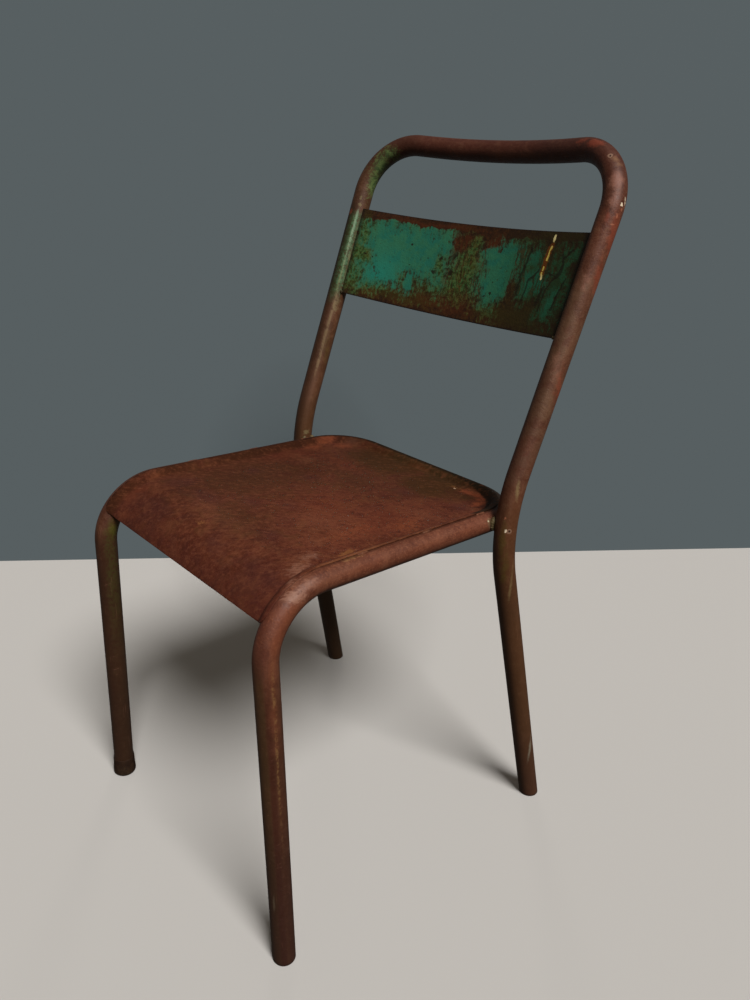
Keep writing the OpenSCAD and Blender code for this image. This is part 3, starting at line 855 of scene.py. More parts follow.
def tube_material(name, which):
    n = Net(name)
    sweep = n.attr("sweep")
    r = Rust(n, TUBE_TONES, 0.62)
    p = n.obj
    x, y, z = n.sep(p)
    w = n.warp(p, (30, 5), (110, 2.2), (400, 0.8))
    wf = n.warp(p, (300, 0.7), (900, 0.35))
    nrm = n.t.nodes.new("ShaderNodeNewGeometry").outputs["Normal"]
    nx, ny, nz = n.sep(nrm)
    c = r.c
    # Long faint streaks along the tube.
    streak = n.noise(n.vmath("MULTIPLY", sweep, (11, 260, 260)), 1.0, 3, 0.6)
    c = n.mix(n.step(streak, 0.54, 0.68, 0, 0.32), c, tone(110, 72, 52))
    c = n.mix(n.step(streak, 0.46, 0.32, 0, 0.20), c, tone(52, 28, 19))
    if which == "back":
        # The legs below the seat: darker, then purple-brown at the foot; the darkening is partly dirt, partly painted
        # shade.
        leg = n.step(z, 0.50, 0.42)
        c = n.mix(n.times(leg, 0.60), c, tone(80, 52, 30))
        c = n.mix(n.times(n.step(z, 0.40, 0.30), 0.5), c, tone(66, 46, 30))
        c = n.mix(n.times(n.step(z, 0.16, 0.03), 0.5), c, tone(60, 38, 31))
        # The near upright, faded to tan below the slat; its inner front, turned from the light, is painted dark:
        # painted shade.
        near = n.times(n.step(x, 0.10, 0.14), n.step(z, 0.44, 0.50), n.step(z, 0.72, 0.66))
        c = n.mix(n.times(near, n.step(r.n2, 0.40, 0.60, 0.25, 0.75)), c, n.mix(n.step(z, 0.56, 0.50), tone(96, 71, 52), tone(82, 56, 42)))
        inner = n.math("MULTIPLY_ADD", n.vmath("DOT_PRODUCT", nrm, (-0.40, -0.90, 0.2)), 1.0, n.math("MULTIPLY", r.rag, 0.3))
        inner = n.times(n.step(inner, 0.55, 1.08), n.step(x, 0.10, 0.14), n.step(z, 0.70, 0.56, 0.25, 0.55))
        c = n.mix(inner, c, tone(50, 30, 21))
        # The far upright and leg: browner.
        c = n.mix(n.times(n.step(x, -0.10, -0.14), 0.50), c, tone(68, 50, 31))
        # The far upright's front, turned from the light, is painted darker: painted shade.
        inner = n.math("MULTIPLY_ADD", n.vmath("DOT_PRODUCT", nrm, (-0.10, -0.98, 0.2)), 1.0, n.math("MULTIPLY", r.rag, 0.3))
        inner = n.times(n.step(inner, 0.70, 1.12), n.step(x, -0.10, -0.14), n.step(z, 0.745, 0.72, 0.3, 0.6))
        c = n.mix(inner, c, tone(44, 28, 17))
        # Top rail: redder and darker.
        top = n.step(z, 0.765, 0.80)
        c = n.mix(n.times(top, 0.65), c, tone(56, 26, 16))
        c = n.scale(c, n.step(n.near(p, (105, 205, 808), (52, 30, 22)), 0.3, 0.8, 1.0, 0.74))
        # The far leg, out of the light, is painted darker: painted shade.
        c = n.scale(c, n.step(n.times(n.step(x, -0.05, -0.1), n.step(z, 0.42, 0.36)), 0, 1, 1.0, 0.78))
        # What is left of the green: the far upright over the slat's height.
        far = n.step(x, -0.10, -0.14)
        line = n.math("MULTIPLY_ADD", n.vmath("DOT_PRODUCT", nrm, (0.62, -0.74, 0.26)), 1.0, n.math("MULTIPLY", r.rag, 0.55))
        band = n.times(n.step(z, 0.600, 0.632), n.step(z, 0.724, 0.712))
        green = n.times(n.step(line, 0.90, 1.14), band, far)
        green = n.times(green, n.step(r.spk, 0.40, 0.49, 0.25, 1))
        gcol = n.mix(n.step(r.n3, 0.42, 0.58), tone(50, 72, 42), tone(72, 98, 68))
        gcol = n.mix(n.step(streak, 0.46, 0.60, 0, 0.6), gcol, tone(74, 62, 36))
        c = n.mix(green, c, gcol)
        # Painted shade down the far upright's front, over the green band.
        far_band_shade = n.vmath("DOT_PRODUCT", nrm, (-0.13, -0.98, 0.15))
        far_band_shade = n.times(n.step(n.math("MULTIPLY_ADD", r.rag, 0.5, far_band_shade), 1.02, 1.20), n.step(z, 0.600, 0.632), n.step(z, 0.735, 0.715), far)
        c = n.mix(n.times(far_band_shade, 0.7), c, tone(36, 34, 20))
        # A narrow painted highlight along the green band's crest.
        crest = n.math("MULTIPLY_ADD", n.vmath("DOT_PRODUCT", nrm, (0.66, -0.70, 0.22)), 1.0, n.math("MULTIPLY", streak, 0.04))
        crest = n.times(n.step(crest, 0.990, 1.012), n.step(z, 0.606, 0.640), n.step(z, 0.727, 0.718), far, n.step(r.spk, 0.42, 0.50, 0.35, 1))
        c = n.mix(n.times(crest, 0.9), c, n.mix(n.step(z, 0.64, 0.69), tone(112, 120, 82), tone(126, 152, 122)))
        scratch = n.near(w, (-172, 146, 676), (5, 5, 7))
        c = n.mix(n.cut(scratch, r.spk, 1.2, 0.30, 0.8), c, tone(104, 70, 50))
        # The painted highlight runs on, paler, below the band.
        below = n.times(n.math("MULTIPLY_ADD", n.vmath("DOT_PRODUCT", nrm, (0.70, -0.69, 0.15)), 1.0, n.math("MULTIPLY", streak, 0.08)), far)
        below = n.times(n.step(below, 1.008, 1.040), n.step(z, 0.50, 0.53), n.step(z, 0.622, 0.612), n.step(r.rag, 0.42, 0.54, 0.1, 0.7))
        c = n.mix(below, c, tone(118, 98, 70))
        olive = n.most([n.near(w, (-169, 188, 752), (7, 12, 20)), n.near(w, (-166, 195, 776), (9, 11, 16)),
                        n.near(w, (-156, 199, 791), (14, 10, 9), 0.9), n.near(w, (-180, 187, 762), (5, 6, 18), 0.6),
                        n.near(w, (-168, 172, 610), (5, 8, 16), 0.75)])
        c = n.mix(n.cut(olive, r.spk, 1.7, 0.30, 0.9), c, n.mix(n.step(r.n3, 0.42, 0.58), tone(54, 80, 46), tone(84, 104, 58)))
        tan = n.most([n.near(w, (-178, 169, 738), (2.2, 2.6, 2.2)), n.near(w, (-177, 168, 730), (2.4, 2.8, 2.2)),
                      n.near(w, (-172, 126, 603), (4, 6, 10), 0.8), n.near(w, (-168, 122, 590), (4, 5, 7), 0.7),
                      n.near(w, (-169, 76, 432), (4, 5, 3)), n.near(w, (-174, 150, 668), (4, 4, 12), 0.6)])
        c = n.mix(n.cut(tan, r.spk, 1.6, 0.20, 0.7), c, tone(112, 98, 68))
        lily = n.most([n.near(w, (186, 64, 410), (4, 6, 34)), n.near(w, (189, 73, 370), (4, 5, 30), 0.8),
                       n.near(w, (-170, 110, 560), (5, 6, 40), 0.7)])
        c = n.mix(n.cut(lily, r.rag, 1.4, 0.26, 0.6), c, tone(72, 58, 24))
        # Thin pale rubs along the near leg, and from the ring at the bend.
        wl = n.warp(p, (60, 1.2), (300, 0.4))
        rub = n.most([n.near(wl, (190.5, 78, 468), (1.8, 2.0, 12), 0.9), n.near(wl, (195, 82.5, 344), (1.4, 1.6, 30), 0.68),
                      n.near(wl, (192.5, 77, 500), (1.5, 1.7, 14), 0.7)])
        c = n.mix(n.cut(rub, r.spk, 1.0, 0.45, 0.55), c, tone(136, 118, 80))
        rub = n.near(wl, (211.6, 151.5, 92), (1.6, 1.8, 20))
        c = n.mix(n.cut(rub, r.spk, 1.2, 0.35, 0.55), c, tone(128, 122, 106))
        rub = n.most([n.near(wl, (176, 194, 795), (3.4, 3, 2.2)), n.near(wl, (181, 193, 790), (2.6, 3, 2.6), 0.7)])
        c = n.mix(n.cut(rub, r.rag, 1.0, 0.5, 0.6), c, tone(122, 86, 56))
        # Pink painted highlights down the near upright's bend and front.
        pink_highlight = n.most([n.near(w, (187, 184, 776), (6, 7, 12)), n.near(w, (191, 178, 755), (5, 6, 12), 0.8),
                       n.near(w, (190, 150, 655), (4, 5, 40), 0.7), n.near(w, (188, 120, 560), (4, 5, 50), 0.65)])
        c = n.mix(n.cut(pink_highlight, r.rag, 1.3, 0.36, 0.6), c, tone(140, 94, 78))
        red = n.most([n.near(w, (198, 176, 724), (4, 7, 22)), n.near(w, (197, 160, 681), (4, 6, 22)),
                      n.near(w, (196, 122, 565), (4, 6, 50), 0.75), n.near(w, (-186, 161, 722), (3, 3, 4)),
                      n.near(w, (144, 202, 810), (9, 5, 4)), n.near(w, (118, 205, 812), (22, 4, 3), 0.75),
                      n.near(w, (190, 169, 742), (4, 4, 11), 0.75)])
        c = n.mix(n.cut(red, r.rag, 1.6, 0.26, 0.55), c, tone(120, 54, 36))
        # Chips down to pale primer, each a few millimetres across.
        dash = n.most([n.near(wf, (197, 172, 734), (2.6, 2.6, 0.7)), n.near(wf, (186, 69, 434), (2.4, 2.2, 2.6), 0.62),
                       n.near(wf, (198, 177, 742), (2.4, 1.0, 3.0), 0.8), n.near(wf, (198, 182, 748), (2.5, 1.2, 1.9), 0.9)])
        c = n.mix(n.cut(dash, r.n4, 0.8, 0.12, 0.8), c, tone(146, 90, 66))
        chip = n.most([n.near(wf, (198, 182, 753), (2.5, 1.8, 2.0)), n.near(wf, (199, 187.6, 757), (2.2, 0.9, 6.4)),
                       n.near(wf, (188, 69, 419), (2.2, 0.8, 2.0), 0.95)])
        c = n.mix(n.cut(chip, r.n4, 0.7, 0.08), c, tone(214, 188, 162))
        for at, size in (((169, 194, 798), 3.0), ((191, 72, 419), 3.0)):
            d = n.near(wf, at, size)
            ring = n.times(n.step(d, 0.46, 0.56), n.step(d, 0.80, 0.72))
            c = n.mix(n.times(ring, 0.5), c, tone(146, 116, 96))
            c = n.mix(n.step(d, 0.76, 0.84, 0, 0.8), c, tone(34, 24, 20))
    else:
        # The front legs: darker below the seat and towards the foot, partly dirt, partly painted shade.
        front = n.step(y, -0.17, -0.21)
        leg = n.times(n.step(z, 0.40, 0.30), front)
        c = n.mix(n.times(leg, 0.66), c, tone(58, 37, 26))
        # Olive-brown down the near front leg's front, partly painted shade on the side turned from the light.
        nearleg = n.times(n.step(x, 0.10, 0.12), n.step(z, 0.42, 0.34), front)
        side = n.math("MULTIPLY_ADD", n.vmath("DOT_PRODUCT", nrm, (0.24, -0.96, 0)), 1.0, n.math("MULTIPLY", r.rag, 0.3))
        c = n.mix(n.times(nearleg, n.step(side, 0.95, 1.10), 0.55), c, tone(64, 48, 29))
        # A thin painted highlight down the near front leg's lit side, broken into flecks.
        ridge_highlight = n.math("MULTIPLY_ADD", n.vmath("DOT_PRODUCT", nrm, (0.99, -0.13, 0)), 1.0, n.math("MULTIPLY", streak, 0.06))
        ridge_highlight = n.times(nearleg, n.step(ridge_highlight, 1.012, 1.034), n.step(r.spk, 0.42, 0.56, 0.10, 0.6), n.step(z, 0.41, 0.37), n.step(z, 0.10, 0.30, 0.1, 1.0))
        c = n.mix(ridge_highlight, c, n.mix(n.step(r.n3, 0.44, 0.56), tone(96, 58, 38), tone(124, 94, 56)))
        nick = n.near(n.warp(p, (60, 1.2), (300, 0.4)), (180.5, -235.7, 88), (1.2, 1.2, 11))
        c = n.mix(n.cut(nick, r.spk, 1.0, 0.35, 0.6), c, tone(128, 116, 92))
        seam = n.vmath("DOT_PRODUCT", nrm, (0.83, -0.56, 0))
        seam = n.times(nearleg, n.step(n.math("MULTIPLY_ADD", r.rag, 0.10, seam), 1.01, 1.045), n.step(z, 0.36, 0.30), 0.5)
        c = n.mix(seam, c, tone(56, 26, 20))
        c = n.mix(n.times(n.step(z, 0.26, 0.06), front, 0.65), c, tone(48, 30, 25))
        farleg = n.times(n.step(x, -0.10, -0.12), n.step(z, 0.42, 0.36), front)
        c = n.mix(n.times(farleg, 0.6), c, tone(50, 34, 23))
        # Green showing through on the far front leg's inner side.
        face = n.math("MULTIPLY_ADD", n.vmath("DOT_PRODUCT", nrm, (1.0, 0.05, 0)), 1.0, n.math("MULTIPLY", r.rag, 1.0))
        green = n.times(n.step(face, 1.12, 1.50), farleg, n.step(r.spk, 0.42, 0.52, 0.1, 1), n.step(z, 0.18, 0.34, 0.05, 0.6))
        c = n.mix(green, c, tone(60, 58, 26))
        lime = n.near(w, (-144, -223, 376), (5, 7, 11))
        c = n.mix(n.cut(lime, r.rag, 1.3, 0.4, 0.7), c, tone(76, 74, 26))
        # The near rail and bend, rubbed even; the far bend, dull.
        rail = n.times(n.step(z, 0.36, 0.40), n.step(x, 0.10, 0.13), n.step(y, 0.10, 0.06))
        c = n.mix(n.times(rail, 0.36), c, tone(94, 51, 37))
        c = n.mix(n.times(rail, n.step(r.n4, 0.54, 0.64, 0, 0.40)), c, tone(126, 76, 53))
        c = n.mix(n.times(rail, n.step(r.spk, 0.46, 0.38, 0, 0.35)), c, tone(72, 40, 30))
        c = n.mix(n.times(n.step(z, 0.38, 0.41), n.step(x, -0.12, -0.14), 0.7), c, tone(58, 34, 25))
        # A dark patch under the near rail by the joint: painted shade.
        below = n.near(w, (157, 62, 404), (16, 26, 9))
        c = n.mix(n.cut(below, r.rag, 1.0, 0.4, 0.65), c, tone(58, 30, 20))
        c = bend_wear_and_highlights(n, r, c, w)
        orange = n.most([n.near(w, (173, -229, 366), (5, 5, 26)), n.near(w, (174, -230, 318), (4, 5, 34), 0.9),
                         n.near(w, (166, -120, 427), (5, 26, 4), 0.8), n.near(w, (167, -40, 425), (5, 34, 4), 0.75),
                         n.near(w, (166, 30, 424), (5, 20, 4), 0.7)])
        c = n.mix(n.cut(orange, r.rag, 0.9, 0.45, 0.4), c, tone(112, 62, 42))
        # A pinkish painted highlight along the near rail's top.
        pinkish_highlight = n.most([n.near(w, (165, -150, 431), (5, 22, 4), 0.8), n.near(w, (164, -90, 430), (5, 30, 4), 0.8),
                          n.near(w, (164, -20, 429), (5, 30, 4), 0.75), n.near(w, (166, 52, 425), (5, 12, 5), 0.9)])
        c = n.mix(n.cut(pinkish_highlight, r.rag, 0.8, 0.5, 0.26), c, tone(122, 76, 56))
        tan = n.near(w, (155, -125, 438), (4, 13, 3))
        c = n.mix(n.cut(tan, r.spk, 1.6, 0.24, 0.6), c, tone(134, 98, 62))
        rear = n.times(n.step(n.math("MULTIPLY_ADD", r.rag, 0.03, y), 0.098, 0.118), n.step(nz, 0.1, 0.75, 0.55, 0.85))
        c = n.mix(rear, c, n.mix(n.step(nz, 0.0, 0.7), tone(46, 35, 25), tone(30, 27, 18)))
        # A dark line painted along the crease where the sheet's edge lies on the rail: painted shade.
        off = n.math("MULTIPLY_ADD", y, -0.0055, n.math("ABSOLUTE", x))
        crease = n.times(n.step(off, 0.1525, 0.1540), n.step(off, 0.1580, 0.1558), n.step(nz, 0.75, 0.92), n.step(y, -0.185, -0.14))
        c = n.mix(n.times(crease, n.step(r.n1, 0.35, 0.6, 0.35, 0.7)), c, tone(52, 29, 20))
        green = n.near(w, (166, 70, 422), (4, 5, 5))
        c = n.mix(n.cut(green, r.spk, 1.4, 0.3, 0.5), c, tone(96, 92, 68))
        chip = n.most([n.near(wf, (166, 66, 423.5), (2, 1.0, 0.8)), n.near(wf, (167, 70, 421), (2, 1.2, 0.7), 0.9),
                       n.near(wf, (159, -60, 434), (2, 2.2, 1.6), 0.7)])
        c = n.mix(n.cut(chip, r.n4, 0.8, 0.06, 0.9), c, tone(170, 162, 132))
    # Undersides painted dark: painted shade.
    underside_shade = n.step(n.math("MULTIPLY_ADD", r.rag, 0.5, nz), 0.05, -0.45)
    c = n.mix(n.times(underside_shade, 0.62), c, tone(32, 21, 14))
    # Fine light scratches, mostly along the tube.
    line = n.noise(n.vmath("MULTIPLY", sweep, (26, 1300, 1300)), 1.0, 2, 0.5)
    c = n.mix(n.times(n.step(line, 0.66, 0.73, 0, 0.28), n.step(r.n2, 0.47, 0.56)), c, tone(140, 98, 78))
    c = n.scale(c, r.grain)
    return finish(n, c, r.rough, r.h, bump=0.5, spec=0.38)


def seat_material():
    n = Net("seat_rust_and_painted_light")
    r = Rust(n, SEAT_TONES, 0.85)
    p = n.obj
    rim = n.attr("rim", False)
    x, y, z = n.sep(p)
    flat = n.vmath("MULTIPLY", p, (1, 1, 0.25))
    w = n.warp(flat, (24, 8), (90, 3.5), (330, 1.2))
    c = r.c
    k = 1.15

    def at(px, py, rx, ry, gain=1.0):
        return n.near(w, (px, py, 106), (rx, ry, 60), gain)

    # Browner to the left and centre, olive-brown along the rear.
    brown = n.most([at(-90, -70, 75, 110, 0.9), at(-20, 30, 60, 40, 0.75), at(0, -150, 60, 40, 0.75)])
    c = n.mix(n.cut(brown, r.n2, 1.1, 0.34, 0.8), c, tone(66, 40, 26, k))
    olive = n.most([at(-40, 104, 62, 40), at(52, 96, 48, 44, 0.95), at(10, 134, 110, 18)])
    c = n.mix(n.cut(olive, r.rag, 1.0, 0.24, 0.9), c, tone(62, 41, 23, k))
    moss = n.most([at(-30, 126, 26, 12, 0.85), at(44, 124, 46, 13, 0.9), at(-122, 128, 18, 14, 0.8)])
    c = n.mix(n.cut(moss, r.spk, 1.6, 0.26, 0.5), c, tone(52, 44, 28, k))
    red = n.most([at(-130, 20, 26, 50, 0.85), at(-136, -200, 13, 13), at(98, -30, 34, 80, 0.9), at(-60, 56, 50, 22, 0.75), at(40, -60, 60, 50, 0.7)])
    c = n.mix(n.cut(red, r.rag, 1.2, 0.28, 0.55), c, tone(95, 47, 33, k))
    purple = n.most([at(50, 50, 18, 14, 0.7), at(-46, -16, 16, 12, 0.7), at(-88, -202, 34, 14, 0.9), at(110, -198, 36, 20, 0.9),
                     at(-105, -60, 16, 14, 0.7), at(120, 72, 13, 15, 0.85), at(60, -150, 16, 12, 0.8), at(30, -196, 22, 10, 0.8),
                     at(-62, -150, 28, 14, 0.8), at(-24, -118, 22, 14, 0.7), at(-112, -150, 18, 20, 0.8), at(10, -90, 20, 14, 0.65)])
    c = n.mix(n.cut(purple, r.rag, 1.4, 0.24, 0.55), c, tone(68, 37, 34, k))
    # Worn to orange at the rear corners, the near side and the rims.
    orange = n.most([at(107, 117, 14, 5), at(122, 112, 7, 8), at(129, 101, 4, 9), at(-146, 92, 9, 24), at(-138, 62, 14, 12, 0.8),
                     at(-120, 100, 14, 12, 0.7), at(100, -64, 13, 20, 0.6), at(120, -14, 14, 32, 0.6),
                     at(104, -92, 12, 20, 0.6)])
    c = n.mix(n.cut(orange, r.spk, 1.5, 0.30, 0.65), c, tone(124, 66, 43, k))
    # The arc at the near rear corner is partly wear, partly painted highlight where the flat meets the rise.
    arc = n.most([at(92, 114, 10, 5), at(106, 113, 9, 5), at(118, 107, 6, 7), at(127, 96, 5, 10)])
    c = n.mix(n.cut(arc, r.spk, 1.4, 0.3, 0.7), c, tone(146, 76, 50, k))
    c = n.mix(n.cut(at(104, 99, 9, 7), r.rag, 1.4, 0.4, 0.7), c, tone(62, 42, 24, k))
    pale = n.most([at(-122, 112, 11, 8, 0.85), at(96, 119, 12, 4, 0.8), at(126, -157, 7, 10, 0.85), at(101, -122, 4, 9, 0.85),
                   at(-104, 20, 16, 10, 0.6), at(66, -90, 40, 30, 0.55), at(110, 18, 20, 12, 0.6), at(-6, -170, 60, 16, 0.55), at(101, -124, 9, 7, 0.8)])
    streaks = n.noise(n.stretch(w, (0.70, 0.70, 0.0), 45, 330), 1.0, 3, 0.6)
    c = n.mix(n.cut(pale, streaks, 1.4, 0.5, 0.28), c, tone(134, 86, 62, k))
    tan = n.most([at(139, -118, 5, 11), at(-14, -186, 7, 4, 0.6), at(143, -60, 4, 26, 0.7), at(72, 114, 14, 6, 0.6)])
    c = n.mix(n.cut(tan, r.spk, 1.5, 0.24, 0.5), c, tone(136, 90, 52, k))
    wf = n.warp(p, (300, 0.7), (900, 0.35))
    dot = n.near(wf, (77, 111, 423), (1.6, 1.3, 9))
    c = n.mix(n.cut(dot, r.n4, 0.6, 0.06, 0.9), c, tone(206, 170, 140, k))
    # The roll at the front: mottled purple and dark.
    front = n.times(n.step(z, 0.424, 0.400), n.step(r.rag, 0.44, 0.56, 0.25, 0.8))
    c = n.mix(front, c, tone(72, 37, 31, 1.25))
    blot = n.noise(n.vmath("ADD", p, (5.2, 0.3, 4.4)), 62, 3, 0.6, 0.5)
    roll = n.step(y, -0.13, -0.18)
    c = n.mix(n.times(n.step(blot, 0.48, 0.66, 0, 0.32), roll), c, tone(54, 31, 29, k))
    c = n.mix(n.times(n.step(blot, 0.48, 0.34, 0, 0.28), roll), c, tone(104, 60, 42, k))
    c = n.scale(c, n.step(z, 0.412, 0.385, 1.0, 0.86))
    low = n.step(n.math("MULTIPLY_ADD", r.rag, 0.010, z), 0.3905, 0.3865)
    c = n.mix(n.times(low, 0.6), c, tone(44, 28, 19, k))
    # The step down from the rim, rubbed here and there.
    slope = n.times(n.step(rim, 0.006, 0.009), n.step(rim, 0.016, 0.012), n.step(r.n2, 0.48, 0.60, 0.0, 0.25), n.step(x, -0.05, 0.05, 0.2, 1.0))
    c = n.mix(slope, c, tone(128, 74, 50, k))
    c = bend_wear_and_highlights(n, r, c, n.warp(p, (30, 5), (110, 2.2), (400, 0.8)))
    # A painted highlight along the sheet's own edge on the rails.
    e = n.math("MULTIPLY_ADD", r.n3, 0.0026, rim)
    rail = n.times(n.step(y, -0.19, -0.15), n.step(x, -0.05, 0.05))
    edge = n.times(n.step(e, 0.0066, 0.0048), rail, n.step(r.n1, 0.36, 0.56, 0.25, 0.55), n.step(y, 0.02, -0.06, 0.15, 1.0))
    c = n.mix(edge, c, tone(134, 88, 60, k))
    # Painted shade on its outermost strip, strongest towards the rear.
    cut = n.times(n.step(e, 0.0034, 0.0022), rail, n.step(y, -0.16, -0.04, 0.25, 0.8))
    c = n.mix(cut, c, tone(60, 33, 23, k))
    # The rear rim, its corners and the far edge are darker, dark olive at the rear.
    back = n.step(n.math("MULTIPLY_ADD", n.math("ABSOLUTE", x), 0.35, n.math("MULTIPLY_ADD", r.rag, 0.012, y)), 0.110, 0.122)
    wide = n.step(x, 0.05, 0.135, 0.0050, 0.0150)
    dark = n.math("SUBTRACT", n.math("MULTIPLY_ADD", r.rag, 0.003, rim), wide)
    c = n.mix(n.times(back, n.step(dark, 0.0030, 0.0002), 0.9), c, tone(32, 28, 19, k))
    band = n.step(n.math("MULTIPLY_ADD", r.n2, 0.010, rim), 0.024, 0.014)
    worn = n.most([at(-147, -104, 9, 24, 0.8), at(-148, -176, 7, 20, 0.8), at(-144, 96, 12, 20)])
    worn = n.cut(worn, r.rag, 1.2, 0.4, 1.0)
    far = n.times(band, n.step(x, -0.10, -0.14), n.step(worn, 0, 1, 0.85, 0.15, "LINEAR"))
    c = n.mix(far, c, tone(52, 31, 21, k))
    far = n.times(n.step(n.math("MULTIPLY_ADD", r.n3, 0.002, rim), 0.0046, 0.0026), n.step(x, -0.10, -0.14), 0.75)
    c = n.mix(far, c, tone(34, 22, 16, k))
    # Rubbed across by years of sitting and stacking.
    wiped = n.noise(n.stretch(p, (0.72, 0.69, 0.0), 70, 290), 1.0, 4, 0.65)
    wiped = n.math("MULTIPLY_ADD", r.n3, 0.5, n.math("MULTIPLY", wiped, 0.6))
    c = n.mix(n.step(wiped, 0.55, 0.68, 0, 0.30), c, tone(114, 68, 47, k))
    c = n.mix(n.step(wiped, 0.54, 0.43, 0, 0.24), c, tone(62, 35, 26, k))
    # Fine light scratches, in two directions.
    s1 = n.noise(n.stretch(p, (0.74, 0.67, 0.0), 38, 900), 1.0, 2, 0.5)
    s2 = n.noise(n.stretch(p, (0.35, 0.93, 0.0), 34, 800), 1.0, 2, 0.5)
    s = n.math("MAXIMUM", n.step(s1, 0.58, 0.76, 0, 0.12), n.step(s2, 0.60, 0.76, 0, 0.08))
    c = n.mix(n.times(s, n.step(r.n1, 0.40, 0.56, 0.25, 1)), c, tone(132, 84, 62, k))
    nrm = n.t.nodes.new("ShaderNodeNewGeometry").outputs["Normal"]
    nx, ny, nz = n.sep(nrm)
    # Undersides painted dark: painted shade.
    underside_shade = n.step(n.math("MULTIPLY_ADD", r.rag, 0.4, nz), -0.05, -0.5)
    c = n.mix(n.times(underside_shade, 0.6), c, tone(46, 28, 19, k))
    c = n.scale(c, r.grain)
    c = n.scale(c, n.times(n.step(y, -0.12, 0.09, 1.0, 0.83), n.step(x, 0.0, -0.11, 1.0, 0.90)))
    rough = n.math("MAXIMUM", r.rough, n.step(x, -0.110, -0.135, 0.5, 0.95))
    return finish(n, c, rough, r.h, bump=0.55, spec=0.12)


